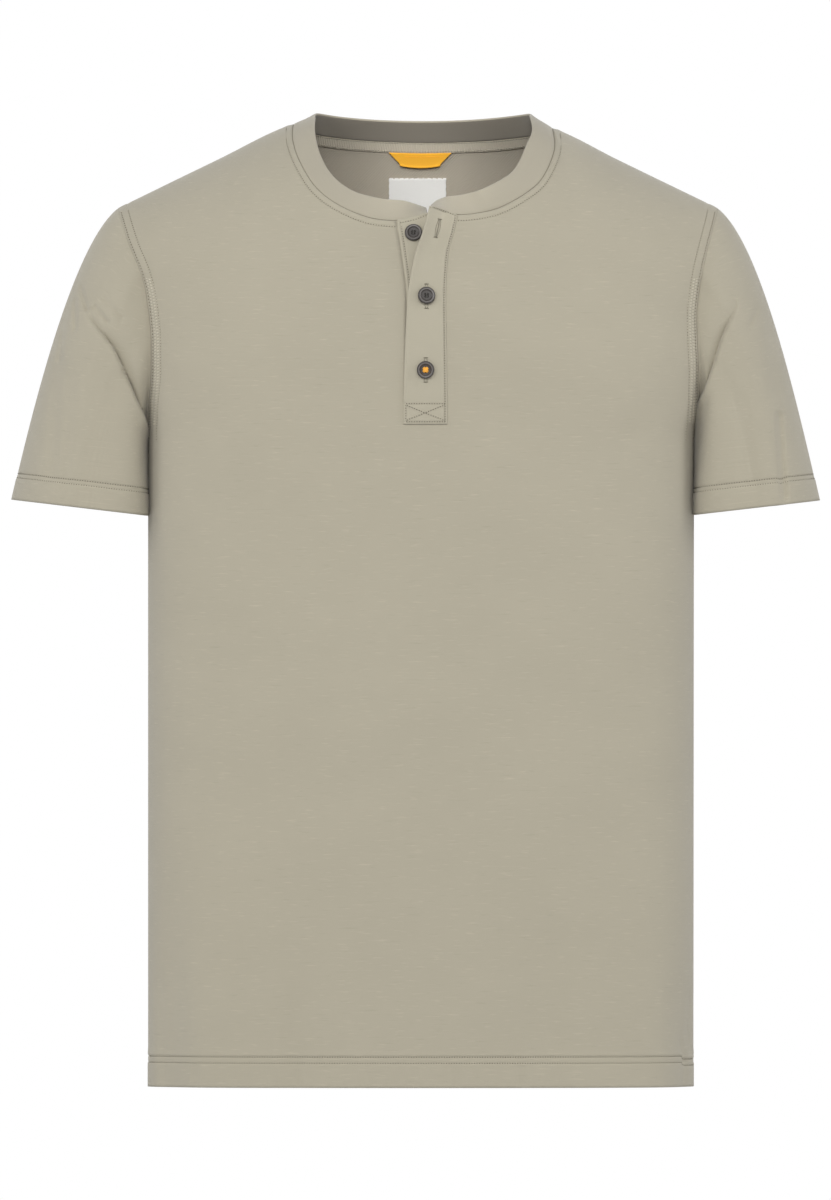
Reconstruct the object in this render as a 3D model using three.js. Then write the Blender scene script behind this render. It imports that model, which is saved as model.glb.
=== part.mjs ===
// Henley shirt with short sleeves, filled out as if worn, with nobody in it.
// Millimetres. X runs to the wearer's left, Y to the back, Z up.
// The origin lies between the two neck points, where the neck seam meets the shoulder seams.
// The wearer's right side is the -X side, and the front of the shirt faces -Y.

import * as THREE from 'three';

// Driving dimensions
const BODY_CLOTH = 1.6;
const BAND_CLOTH = 2.2;
const TAPE_CLOTH = 1.0;
const SEAM_GAP = 0.3;
const SLEEVE_GAP = 0.4;
const BAND_GAP = 0.5;
const HEM_Z = -721.5;
const UNDERARM_Z = -235;
const SLOT_FOOT_Z = -218;
const BOX_FOOT_Z = -226;
const SECTION_POWER = 3;
const BAND_WIDTH = 18;
const TAPE_WIDTH = 7.5;
const BUTTON_DIAMETER = 13.2;
const BUTTON_THICKNESS = 2.8;
const LABEL = { width: 43, top: -39.2, height: 46, centre: -2.6 };
const LOOP = { top: 47, bottom: 31, height: 8.3, bow: 1.4, off: 1.2, centre: -0.6 };
const TAPE_ENDS = { right: -84, left: 86 };
const TAPE_END_RISE = 0.9;

// The edge of the front seen from the front: side seam up to the underarm, then the armhole.
// reach is how far out on the full section the armhole edge lies, 1 being the side seam.
const EDGE = [
  { z: -721.5, right: 205, left: 204.7, reach: 1 },
  { z: -235, right: 205, left: 205.2, reach: 1 },
  { z: -218, right: 204.4, left: 206.8, reach: 0.99 },
  { z: -205, right: 203.4, left: 207.6, reach: 0.98 },
  { z: -186, right: 201.9, left: 207.8, reach: 0.966 },
  { z: -165, right: 201.8, left: 206.8, reach: 0.955 },
  { z: -145, right: 203.3, left: 206.3, reach: 0.95 },
  { z: -124, right: 206.4, left: 208.4, reach: 0.94 },
  { z: -109, right: 210.8, left: 211, reach: 0.925 },
  { z: -89, right: 219, left: 215.8, reach: 0.922 },
  { z: -70, right: 226.8, left: 220.8, reach: 0.918 },
  { z: -63, right: 227, left: 222.3, reach: 0.915 },
];

// How far the front and the back stand out from the side seams
const DEPTH = [
  { z: -721.5, front: 107, back: 97 },
  { z: -480, front: 111, back: 98 },
  { z: -200, front: 113, back: 101 },
  { z: 20, front: 112, back: 100 },
];

// The shoulder line seen from the front, carried across the neck
const RIDGE = [
  { x: -227, z: -63 },
  { x: -153, z: -27 },
  { x: -96, z: 0 },
  { x: -60, z: 9 },
  { x: 0, z: 12 },
  { x: 60, z: 8 },
  { x: 99, z: -3 },
  { x: 148, z: -27 },
  { x: 222.3, z: -63 },
];

// The drop over which the shoulder rounds over into the front and the back
const ROUNDING = [
  { x: 0, drop: 200 },
  { x: 100, drop: 190 },
  { x: 230, drop: 150 },
];

// The slot in the front under the two placket strips
const SLOT = [
  { z: -218, right: -11, left: 18 },
  { z: -131, right: -10.7, left: 16.7 },
  { z: -95, right: -14.7, left: 18.7 },
  { z: -68, right: -19, left: 27 },
];

// The neck seam seen from the front, each side from the neck point to the slot
const NECK_RIGHT = [
  { x: -96, z: 0 },
  { x: -96.2, z: -12 },
  { x: -91, z: -28 },
  { x: -78.8, z: -48 },
  { x: -61.5, z: -61.5 },
  { x: -39, z: -71 },
  { x: -19, z: -73.5 },
];
const NECK_LEFT = [
  { x: 99, z: -3 },
  { x: 100, z: -20 },
  { x: 91, z: -41 },
  { x: 78, z: -53 },
  { x: 58, z: -64 },
  { x: 40, z: -68 },
  { x: 27, z: -69 },
];
const NECK_BACK = [
  { x: 99, z: -3 },
  { x: 81, z: -7.2 },
  { x: 45, z: -10.7 },
  { x: 1.5, z: -11.8 },
  { x: -42, z: -10.2 },
  { x: -78, z: -6 },
  { x: -96, z: 0 },
];

// Top edges of the two placket strips, and the free and sewn edges of the upper one
const UNDER_TOP = [
  { x: -18.7, z: -73.5 },
  { x: -4.5, z: -70.5 },
  { x: 4.5, z: -67.5 },
  { x: 26, z: -77 },
];
const UPPER_EDGES = [
  { z: -226, free: -13.2, sewn: 19.6, lift: 0 },
  { z: -210, free: -13.1, sewn: 19.6, lift: 0 },
  { z: -171, free: -12, sewn: 19.2, lift: 0 },
  { z: -131, free: -10, sewn: 18.6, lift: 1.2 },
  { z: -102, free: -5, sewn: 20, lift: 5.5 },
  { z: -79, free: 3, sewn: 25.2, lift: 10 },
  { z: -63, free: 7.2, sewn: 28.6, lift: 13 },
];
const UPPER_TOP = { free: -63.2, sewn: -69.4 };

// The neck seam and the band's top edge over it, seen from the front, in pairs from the under strip round
const BAND_EDGE = [
  { back: false, x: 4.6, z: -67.5, topX: 3.8, topZ: -63.2 },
  { back: false, x: -8, z: -71.3, topX: -7, topZ: -59.3 },
  { back: false, x: -18.8, z: -73.5, topX: -17.5, topZ: -57.6 },
  { back: false, x: -39, z: -71, topX: -34, topZ: -55.6 },
  { back: false, x: -61.5, z: -61.5, topX: -51, topZ: -50.4 },
  { back: false, x: -78.8, z: -48, topX: -65.5, topZ: -39.5 },
  { back: false, x: -91, z: -28, topX: -74.5, topZ: -24.5 },
  { back: false, x: -96.2, z: -12, topX: -79.3, topZ: -7 },
  { back: false, x: -96, z: 0, topX: -79.5, topZ: 6.5 },
  { back: true, x: -88, z: -3.4, topX: -76.5, topZ: 8.6 },
  { back: true, x: -78, z: -6, topX: -68, topZ: 7.4 },
  { back: true, x: -42, z: -10.2, topX: -38, topZ: 4.4 },
  { back: true, x: 1.5, z: -11.8, topX: 1.5, topZ: 3.2 },
  { back: true, x: 45, z: -10.7, topX: 41, topZ: 4.4 },
  { back: true, x: 81, z: -7.2, topX: 71, topZ: 7.2 },
  { back: true, x: 91, z: -5, topX: 80, topZ: 8.6 },
  { back: false, x: 99, z: -3, topX: 81.8, topZ: 7 },
  { back: false, x: 100, z: -15, topX: 83.3, topZ: -4 },
  { back: false, x: 98.5, z: -28, topX: 79, topZ: -18 },
  { back: false, x: 91, z: -41, topX: 71.5, topZ: -32 },
  { back: false, x: 78, z: -53, topX: 62, topZ: -41 },
  { back: false, x: 58, z: -64, topX: 46, topZ: -49.5 },
  { back: false, x: 40, z: -68, topX: 33, topZ: -53 },
  { back: false, x: 27, z: -69, topX: 23.5, topZ: -54.6 },
  { back: false, x: 15, z: -66.4, topX: 13.5, topZ: -58 },
  { back: false, x: 7.2, z: -63.2, topX: 8.3, topZ: -61.3 },
];
// The least that the band leans in, and the depth over which its lean turns from front to back
const BAND_LEAST_LEAN = 2;
const BAND_TURN_DEPTH = 12;

// Soft vertical drape in the lower body: a trough centred at x, fading out upwards
const BODY_FOLDS = [
  { side: 'front', x: -175, width: 12, depth: 6, top: -500 },
  { side: 'front', x: -94, width: 11, depth: 2.2, top: -600 },
  { side: 'front', x: 96, width: 14, depth: 2, top: -560 },
  { side: 'front', x: 189, width: 9, depth: 5, top: -600 },
  { side: 'back', x: -120, width: 20, depth: 5, top: -430 },
  { side: 'back', x: -28, width: 26, depth: 3.5, top: -380 },
  { side: 'back', x: 74, width: 22, depth: 4.5, top: -450 },
  { side: 'back', x: 152, width: 15, depth: 4, top: -520 },
];

// Sleeves: the open end as an oval, and how the cloth leaves the armhole
const SLEEVES = {
  right: { sign: -1, outer: 307, inner: 207.2, outerZ: -281.7, innerZ: -293.8 },
  left: { sign: 1, outer: 299, inner: 207.2, outerZ: -282.3, innerZ: -293.2 },
};
const CUFF_DEPTH = 62;
const SLEEVE_RINGS = 12;

// The fold that runs down the front of each sleeve to the underarm, and its like at the back
const SLEEVE_FOLDS = {
  right: [
    { z: -138, x: -251, depth: 0.5 },
    { z: -148, x: -246, depth: 1.8 },
    { z: -162, x: -236, depth: 3.8 },
    { z: -169, x: -231, depth: 5.2 },
    { z: -185, x: -223.5, depth: 7.8 },
    { z: -196, x: -218.5, depth: 9.8 },
    { z: -226, x: -206.5, depth: 11 },
  ],
  left: [
    { z: -138, x: 236, depth: 1 },
    { z: -160, x: 226, depth: 4 },
    { z: -184, x: 218.5, depth: 7.5 },
    { z: -200, x: 213, depth: 9.5 },
    { z: -217, x: 206.5, depth: 10.5 },
  ],
};
const SLEEVE_FOLD_WIDTH = { upper: 13, lower: 7 };
const SLEEVE_FOLD_FADE = { above: 14, over: 20, low: -262, high: -225 };

// How a sleeve leaves the underarm and the shoulder point, and how it reaches its open end
const SLEEVE_LEAVE = { underarm: [0.02, -1], shoulder: [0.8, -0.62], bulge: 0.3, rise: 0.6 };
const SLEEVE_ARRIVE = { inner: 0.01, outer: 0.23 };
const SLEEVE_HANDLES = { underarm: 0.3, shoulder: 0.17, end: 0.38 };
const SLEEVE_FLATTENING = 0.55;
const SLEEVE_RING_POWER = 1.25;
// The share of the sleeve next to its seam where a fold starts, and the depth beyond which it is full
const SLEEVE_SEAM_SHARE = 0.12;
const SLEEVE_FACE_DEPTH = 30;

// Grid sizes
const SHOULDER_CELLS = 5;
const NECK_CELLS = 8;
const SLOT_CELLS = 3;
const UPPER_ROWS = 10;
const LOWER_LEVELS = [-721.5, -700, -640, -560, -480, -400, -330, -280, -250, -235, -227, -218];

const CLOTH = { color: 0xb4ae9b, roughness: 0.92 };
const BAND = { color: 0xb4ae9c, roughness: 0.9 };
const STRIP = { color: 0xb7b19e, roughness: 0.9 };
const TAPE = { color: 0xa39d8c, roughness: 0.95 };
const ORANGE = { color: 0xfdb232, roughness: 0.7 };
const LABEL_CLOTH = { color: 0xe1e1de, roughness: 0.8 };
const BUTTON = { color: 0x3c3937, roughness: 0.45 };

const clamp = (value, low, high) => Math.min(high, Math.max(low, value));
const mix = (a, b, share) => a + (b - a) * share;

function smoothStep(low, high, value) {
  const share = clamp((value - low) / (high - low), 0, 1);
  return share * share * (3 - 2 * share);
}

// A column of a table, read at a place between its rows, smooth and without overshoot
function read(rows, key, column, at) {
  const last = rows.length - 1;
  const place = clamp(at, rows[0][key], rows[last][key]);
  let i = 0;
  while (i < last - 1 && place > rows[i + 1][key]) i += 1;
  const slope = (k) => (rows[k + 1][column] - rows[k][column]) / (rows[k + 1][key] - rows[k][key]);
  const tangent = (k) => {
    if (k === 0) return slope(0);
    if (k === last) return slope(last - 1);
    const before = slope(k - 1);
    const after = slope(k);
    return before * after <= 0 ? 0 : (2 * before * after) / (before + after);
  };
  const span = rows[i + 1][key] - rows[i][key];
  const t = (place - rows[i][key]) / span;
  const h = t * t * (3 - 2 * t);
  const ease = span * (t * (1 - t) * (1 - t) * tangent(i) - t * t * (1 - t) * tangent(i + 1));
  return mix(rows[i][column], rows[i + 1][column], h) + ease;
}

const sideOf = (x) => (x < 0 ? 'right' : 'left');

// Half width of the full section at a height, past the armhole edge too
const halfWidth = (x, z) => read(EDGE, 'z', sideOf(x), z) / read(EDGE, 'z', 'reach', z);

function drape(side, x, z) {
  let sum = 0;
  for (const fold of BODY_FOLDS) {
    if (fold.side !== side) continue;
    const across = Math.exp(-(((x - fold.x) / fold.width) ** 2));
    sum += fold.depth * across * smoothStep(fold.top, HEM_Z, z);
  }
  return sum;
}

// How far the front or the back stands off the side seam plane at a point seen from the front
function standOff(side, x, z) {
  const across = clamp(Math.abs(x) / halfWidth(x, z), 0, 1);
  const section = (1 - across ** SECTION_POWER) ** (1 / SECTION_POWER);
  const below = read(RIDGE, 'x', 'z', x) - z;
  const share = clamp(below / read(ROUNDING, 'x', 'drop', Math.abs(x)), 0, 1);
  const rounding = Math.sqrt(1 - (1 - share) ** 2);
  const full = read(DEPTH, 'z', side, z) * section * rounding;
  return Math.max(full - drape(side, x, z) * Math.min(1, full / 40), SEAM_GAP / 2 + 0.05);
}

// Points spaced evenly along a line drawn on the body, through a table of its x and z
function spaced(side, rows, cells) {
  const line = new THREE.SplineCurve(rows.map((row) => new THREE.Vector2(row.x, row.z)));
  const fine = line.getPoints(rows.length * 40);
  const lengths = [0];
  for (let k = 1; k < fine.length; k += 1) {
    const here = onBodyLine(side, fine[k]);
    lengths.push(lengths[k - 1] + here.distanceTo(onBodyLine(side, fine[k - 1])));
  }
  const points = [];
  let k = 0;
  for (let i = 0; i <= cells; i += 1) {
    const target = (lengths[fine.length - 1] * i) / cells;
    while (k < fine.length - 2 && lengths[k + 1] < target) k += 1;
    const share = clamp((target - lengths[k]) / (lengths[k + 1] - lengths[k]), 0, 1);
    points.push({ x: mix(fine[k].x, fine[k + 1].x, share), z: mix(fine[k].y, fine[k + 1].y, share) });
  }
  return points;
}

const onBodyLine = (side, { x, y: z }) => new THREE.Vector3(x, standOff(side, x, z), z);

// A point on the front or the back, moved out of the cloth by lift, or into the shirt if negative
function onBody(side, x, z, lift = 0) {
  const sign = side === 'front' ? -1 : 1;
  const step = 1.5;
  const slopeX = (standOff(side, x + step, z) - standOff(side, x - step, z)) / (2 * step);
  const slopeZ = (standOff(side, x, z + step) - standOff(side, x, z - step)) / (2 * step);
  const normal = new THREE.Vector3(-slopeX, sign, -slopeZ).normalize();
  return new THREE.Vector3(x, sign * standOff(side, x, z), z).addScaledVector(normal, lift);
}

// Directions square to the cloth at each point of a grid, from the cells around it
function facings(grid, closed) {
  const rows = grid.length;
  const columns = grid[0].length;
  const normals = grid.map((row) => row.map(() => new THREE.Vector3()));
  const lastColumn = closed ? columns : columns - 1;
  for (let i = 0; i < rows - 1; i += 1) {
    for (let j = 0; j < lastColumn; j += 1) {
      const next = (j + 1) % columns;
      const rising = grid[i + 1][next].clone().sub(grid[i][j]);
      const falling = grid[i + 1][j].clone().sub(grid[i][next]);
      const square = rising.cross(falling);
      for (const [a, b] of [[i, j], [i, next], [i + 1, j], [i + 1, next]]) normals[a][b].add(square);
    }
  }
  normals.forEach((row) => row.forEach((normal) => normal.normalize()));
  return normals;
}

// A closed wall: a grid of outer points, the same points moved in, and the edges joined
function wall(grid, thickness, { closed = false, keep = () => true, normals = facings(grid, closed) } = {}) {
  const rows = grid.length;
  const columns = grid[0].length;
  const points = [];
  grid.flat().forEach((point) => points.push(...point.toArray()));
  grid.forEach((row, i) => row.forEach((point, j) => {
    points.push(...point.clone().addScaledVector(normals[i][j], -thickness).toArray());
  }));
  const inner = rows * columns;
  const lastColumn = closed ? columns : columns - 1;
  const kept = (i, j) => {
    if (i < 0 || i >= rows - 1) return false;
    if (!closed && (j < 0 || j >= lastColumn)) return false;
    return keep(i, (j + columns) % columns);
  };
  const faces = [];
  const quad = (a, b, c, d) => faces.push(a, b, c, a, c, d);
  for (let i = 0; i < rows - 1; i += 1) {
    for (let j = 0; j < lastColumn; j += 1) {
      if (!kept(i, j)) continue;
      const next = (j + 1) % columns;
      const a = i * columns + j;
      const b = i * columns + next;
      const c = (i + 1) * columns + next;
      const d = (i + 1) * columns + j;
      quad(a, b, c, d);
      quad(inner + d, inner + c, inner + b, inner + a);
      if (!kept(i - 1, j)) quad(b, a, inner + a, inner + b);
      if (!kept(i + 1, j)) quad(d, c, inner + c, inner + d);
      if (!kept(i, j - 1)) quad(a, d, inner + d, inner + a);
      if (!kept(i, j + 1)) quad(c, b, inner + b, inner + c);
    }
  }
  return solid(points, faces);
}

function solid(points, faces) {
  const used = [...new Set(faces)];
  const place = new Map(used.map((old, now) => [old, now]));
  const positions = used.flatMap((old) => points.slice(old * 3, old * 3 + 3));
  const geometry = new THREE.BufferGeometry();
  geometry.setAttribute('position', new THREE.Float32BufferAttribute(positions, 3));
  geometry.setIndex(faces.map((old) => place.get(old)));
  geometry.computeVertexNormals();
  return geometry;
}

const shirt = new THREE.Group();

function add(name, geometry, look) {
  const material = new THREE.MeshStandardMaterial({ ...look, metalness: 0 });
  const mesh = new THREE.Mesh(geometry, material);
  mesh.name = name;
  shirt.add(mesh);
  return mesh;
}

// The top edge of one half of a panel, from the shoulder point to the neck point and along the neck
function halfTop(side, neck) {
  const shoulderX = side === 'right' ? -EDGE[EDGE.length - 1].right : EDGE[EDGE.length - 1].left;
  const points = [];
  for (let i = 0; i < SHOULDER_CELLS; i += 1) {
    const x = mix(shoulderX, neck[0].x, i / SHOULDER_CELLS);
    points.push({ x, z: read(RIDGE, 'x', 'z', x) });
  }
  return [...points, ...spaced('front', neck, NECK_CELLS)];
}

const edgeX = (side, z) => (side === 'right' ? -1 : 1) * read(EDGE, 'z', side, z);

// The columns of half a panel: where each stands at any height, between its side edge and `meets`
function halfColumns(side, top, meets) {
  const cells = top.length - 1;
  return top.map((end, i) => {
    const low = 1 - Math.cos((Math.PI / 2) * (i / cells));
    const high = (end.x - edgeX(side, end.z)) / (meets(end.z) - edgeX(side, end.z));
    const at = (z) => {
      const share = mix(low, high, clamp((z - SLOT_FOOT_Z) / (end.z - SLOT_FOOT_Z), 0, 1));
      return mix(edgeX(side, z), meets(z), share);
    };
    return { at, top: end.z };
  });
}

// Heights of a column's points: level rows to the slot foot, then closer and closer to its top
function columnHeights(top) {
  const upper = [];
  for (let i = 1; i <= UPPER_ROWS; i += 1) {
    upper.push(top - (top - SLOT_FOOT_Z) * (1 - i / UPPER_ROWS) ** 2);
  }
  return [...LOWER_LEVELS, ...upper];
}

// Seams share one direction for the cloth's thickness, so that the pieces on them stay parallel
function seamFacings(grid, normals, cells) {
  const topRow = grid.length - 1;
  const underarmRow = LOWER_LEVELS.indexOf(UNDERARM_Z);
  const lastColumn = grid[0].length - 1;
  grid[topRow].forEach((point, j) => {
    const fromEdge = Math.min(j, lastColumn - j);
    if (fromEdge > cells) return;
    const slope = (read(RIDGE, 'x', 'z', point.x + 2) - read(RIDGE, 'x', 'z', point.x - 2)) / 4;
    normals[topRow][j].set(-slope, 0, 1).normalize();
  });
  for (let i = 0; i <= underarmRow; i += 1) {
    normals[i][0].set(Math.sign(grid[i][0].x), 0, 0);
    normals[i][lastColumn].set(Math.sign(grid[i][lastColumn].x), 0, 0);
  }
}

function panel(side, columns, keep) {
  const sign = side === 'front' ? -1 : 1;
  const heights = columns.map((column) => columnHeights(column.top));
  const grid = heights[0].map((_, i) => columns.map((column, j) => {
    const z = heights[j][i];
    const x = column.at(z);
    return new THREE.Vector3(x, sign * standOff(side, x, z), z);
  }));
  const normals = facings(grid, false);
  seamFacings(grid, normals, SHOULDER_CELLS);
  return { grid, normals, geometry: wall(grid, BODY_CLOTH, { keep, normals }) };
}

// Front: two halves, with the slot's own columns between them
const slotRight = (z) => read(SLOT, 'z', 'right', z);
const slotLeft = (z) => read(SLOT, 'z', 'left', z);
const rightTop = halfTop('right', NECK_RIGHT);
const leftTop = halfTop('left', NECK_LEFT);
const frontRight = halfColumns('right', rightTop, slotRight);
const frontLeft = halfColumns('left', leftTop, slotLeft).reverse();
const slotColumns = [];
for (let i = 1; i < SLOT_CELLS; i += 1) {
  const share = i / SLOT_CELLS;
  slotColumns.push({
    at: (z) => mix(slotRight(z), slotLeft(z), share),
    top: mix(NECK_RIGHT[NECK_RIGHT.length - 1].z, NECK_LEFT[NECK_LEFT.length - 1].z, share),
  });
}
const slotStart = frontRight.length - 1;
const slotRow = LOWER_LEVELS.length - 1;
const outsideSlot = (i, j) => i < slotRow || j < slotStart || j >= slotStart + SLOT_CELLS;
const front = panel('front', [...frontRight, ...slotColumns, ...frontLeft], outsideSlot);
add('front', front.geometry, CLOTH);

// Back: the columns run from the wearer's left to right, so that the cloth faces outwards
const backMiddle = () => 1.5;
const backNeck = spaced('back', NECK_BACK, 2 * NECK_CELLS);
const shoulderPart = (top) => top.slice(0, SHOULDER_CELLS);
const backLeftTop = [...shoulderPart(leftTop), ...backNeck.slice(0, NECK_CELLS + 1)];
const backRightTop = [...shoulderPart(rightTop), ...backNeck.slice(NECK_CELLS).reverse()];
const backLeft = halfColumns('left', backLeftTop, backMiddle);
const backRight = halfColumns('right', backRightTop, backMiddle).reverse();
const back = panel('back', [...backLeft, ...backRight.slice(1)], () => true);
add('back', back.geometry, CLOTH);

// The armhole as a ring: shoulder point, down the front, underarm, up the back
function armhole(side) {
  const frontColumn = side === 'right' ? 0 : front.grid[0].length - 1;
  const backColumn = side === 'right' ? back.grid[0].length - 1 : 0;
  const underarmRow = LOWER_LEVELS.indexOf(UNDERARM_Z);
  const topRow = front.grid.length - 1;
  const pick = (panelPiece, column, row) => ({
    point: panelPiece.grid[row][column],
    normal: panelPiece.normals[row][column],
  });
  const ring = [];
  for (let row = topRow; row >= underarmRow; row -= 1) ring.push(pick(front, frontColumn, row));
  for (let row = underarmRow + 1; row < topRow; row += 1) ring.push(pick(back, backColumn, row));
  return ring.map(({ point, normal }, k) => {
    const start = point.clone();
    if (k === 0 || k === topRow - underarmRow) start.y = 0;
    return { point: start, normal };
  });
}

// The open end of a sleeve: round outside, flatter where it hangs against the body
function cuffPoint(spec, turn) {
  const across = Math.cos(turn);
  const flat = across < 0 ? -(Math.abs(across) ** SLEEVE_FLATTENING) : across;
  const share = (1 - flat) / 2;
  const x = spec.sign * mix(spec.outer, spec.inner, share);
  return new THREE.Vector3(x, -CUFF_DEPTH * Math.sin(turn), mix(spec.outerZ, spec.innerZ, share));
}

// The depth of the sleeve's fold at a point: steep on its lower side, soft on its upper side
function sleeveTrough(side, x, z) {
  const rows = [...SLEEVE_FOLDS[side]].reverse();
  const top = rows[rows.length - 1].z;
  const line = read(rows, 'z', 'x', z);
  const away = Math.abs(line) - Math.abs(x);
  const width = away > 0 ? SLEEVE_FOLD_WIDTH.upper : SLEEVE_FOLD_WIDTH.lower;
  const depth = read(rows, 'z', 'depth', z);
  const { above, over, low, high } = SLEEVE_FOLD_FADE;
  const fade = smoothStep(top + above, top + above - over, z) * smoothStep(low, high, z);
  return depth * Math.exp(-((away / width) ** 2)) * fade;
}

// Each ring point's way from the armhole to the open end, as a cubic curve
function sleeve(side) {
  const spec = SLEEVES[side];
  const ring = armhole(side);
  const topZ = ring[0].point.z;
  const lengths = [0];
  ring.forEach(({ point }, k) => {
    const next = ring[(k + 1) % ring.length].point;
    lengths.push(lengths[k] + point.distanceTo(next));
  });
  const round = lengths[ring.length];
  const ways = ring.map(({ point, normal }, k) => {
    const start = point.clone();
    start.x += spec.sign * SLEEVE_GAP;
    const turn = 2 * Math.PI * (lengths[k] / round);
    const end = cuffPoint(spec, turn);
    const height = clamp((point.z - UNDERARM_Z) / (topZ - UNDERARM_Z), 0, 1);
    const out = height ** SLEEVE_LEAVE.rise;
    const [away, down] = SLEEVE_LEAVE.underarm.map((low, axis) => mix(low, SLEEVE_LEAVE.shoulder[axis], out));
    const leave = new THREE.Vector3(spec.sign * away, -Math.sin(turn) * SLEEVE_LEAVE.bulge, down).normalize();
    const spread = mix(SLEEVE_ARRIVE.inner, SLEEVE_ARRIVE.outer, (1 + Math.cos(turn)) / 2);
    const arrive = new THREE.Vector3(spec.sign * spread, 0, -1).normalize();
    const length = start.distanceTo(end);
    const curve = new THREE.CubicBezierCurve3(
      start,
      start.clone().addScaledVector(leave, length * mix(SLEEVE_HANDLES.underarm, SLEEVE_HANDLES.shoulder, out)),
      end.clone().addScaledVector(arrive, -length * SLEEVE_HANDLES.end),
      end,
    );
    return { curve, start, normal };
  });
  const grid = [];
  for (let i = 0; i <= SLEEVE_RINGS; i += 1) {
    const along = (i / SLEEVE_RINGS) ** SLEEVE_RING_POWER;
    grid.push(ways.map(({ curve }) => {
      const point = curve.getPoint(along);
      const faces = clamp(Math.abs(point.y) / SLEEVE_FACE_DEPTH, 0, 1) * smoothStep(0, SLEEVE_SEAM_SHARE, along);
      point.y -= Math.sign(point.y) * sleeveTrough(side, point.x, point.z) * faces;
      return point;
    }));
  }
  if (side === 'right') grid.forEach((row) => row.reverse());
  const normals = facings(grid, true);
  const starts = ways.map(({ normal }) => normal);
  if (side === 'right') starts.reverse();
  normals[0].forEach((own, k) => {
    const agree = smoothStep(0.1, 0.7, own.dot(starts[k]));
    own.multiplyScalar(1 - agree).addScaledVector(starts[k], agree).normalize();
  });
  return wall(grid, BODY_CLOTH, { closed: true, normals });
}
add('sleeve_right', sleeve('right'), CLOTH);
add('sleeve_left', sleeve('left'), CLOTH);

// Under strip: it fills the slot level with the front and carries the buttons
function underStrip() {
  const columns = 4;
  const heights = [0, 0.12, 0.3, 0.5, 0.7, 0.88, 1];
  const grid = heights.map((share) => {
    const row = [];
    for (let j = 0; j <= columns; j += 1) {
      const across = j / columns;
      const topX = mix(slotRight(-70) + 0.6, slotLeft(-70) - 1.2, across);
      const z = mix(SLOT_FOOT_Z + SEAM_GAP, read(UNDER_TOP, 'x', 'z', topX), share);
      const x = mix(slotRight(z) + 0.35, slotLeft(z) - 0.8, across);
      row.push(onBody('front', x, z));
    }
    return row;
  });
  return wall(grid, BODY_CLOTH);
}
add('placket_under', underStrip(), STRIP);

// Upper strip: it lies on the front, its free edge turned out above the second button
const STRIP_RISE = BODY_CLOTH + SEAM_GAP + 0.1;
function upperPoint(across, z) {
  const free = read(UPPER_EDGES, 'z', 'free', z);
  const sewn = read(UPPER_EDGES, 'z', 'sewn', z);
  const lift = read(UPPER_EDGES, 'z', 'lift', z) * clamp((0.6 - across) / 0.6, 0, 1) ** 1.6;
  const point = onBody('front', mix(free, sewn, across), z, STRIP_RISE);
  point.y -= lift;
  return point;
}
const UPPER_COLUMNS = [0, 0.15, 0.32, 0.44, 0.55, 0.78, 1];
const UPPER_HEIGHTS = [0, 0.1, 0.25, 0.4, 0.52, 0.62, 0.72, 0.8, 0.9, 0.95, 1];
const BUTTONS = [
  { x: -5.6, z: -83, rise: 0.1 },
  { x: 4, z: -130.4, rise: STRIP_RISE + 1.1, tilt: 0.05 },
  { x: 3.4, z: -185.2, rise: STRIP_RISE },
];
const BUTTONHOLE = { column: 3, firstRow: 8, lastRow: 8 };
function upperGrid() {
  return UPPER_HEIGHTS.map((share) => UPPER_COLUMNS.map((across) => {
    const top = mix(UPPER_TOP.free, UPPER_TOP.sewn, across);
    return upperPoint(across, mix(BOX_FOOT_Z, top, share));
  }));
}
const openHole = (i, j) => j === BUTTONHOLE.column && i >= BUTTONHOLE.firstRow && i <= BUTTONHOLE.lastRow;
const upper = upperGrid();
add('placket_upper', wall(upper, BODY_CLOTH, { keep: (i, j) => !openHole(i, j) }), STRIP);

// Neckband: from the under strip round the right side, back and left side to the upper strip
function bandSeam() {
  const line = [];
  const topRow = front.grid.length - 1;
  const neckColumns = (from, to, piece) => {
    const step = from < to ? 1 : -1;
    for (let j = from; j !== to + step; j += step) {
      line.push({ point: piece.grid[topRow][j].clone(), normal: piece.normals[topRow][j].clone() });
    }
  };
  for (const x of [4.6, -2, -8, -13.5]) {
    const point = onBody('front', x, read(UNDER_TOP, 'x', 'z', x));
    const out = onBody('front', x, read(UNDER_TOP, 'x', 'z', x), 1).sub(point);
    line.push({ point, normal: out });
  }
  neckColumns(slotStart, SHOULDER_CELLS, front);
  neckColumns(back.grid[0].length - 2 - SHOULDER_CELLS, SHOULDER_CELLS, back);
  neckColumns(front.grid[0].length - 2 - SHOULDER_CELLS, slotStart + SLOT_CELLS + 1, front);
  const strip = upper[upper.length - 1];
  const stripNormals = facings(upper, false)[upper.length - 1];
  for (let j = strip.length - 1; j >= 0; j -= 1) {
    line.push({ point: strip[j].clone(), normal: stripNormals[j].clone() });
  }
  line.filter(({ point }) => Math.abs(point.y) < 1).forEach(({ point }) => { point.y = 0; });
  return line;
}

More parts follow.
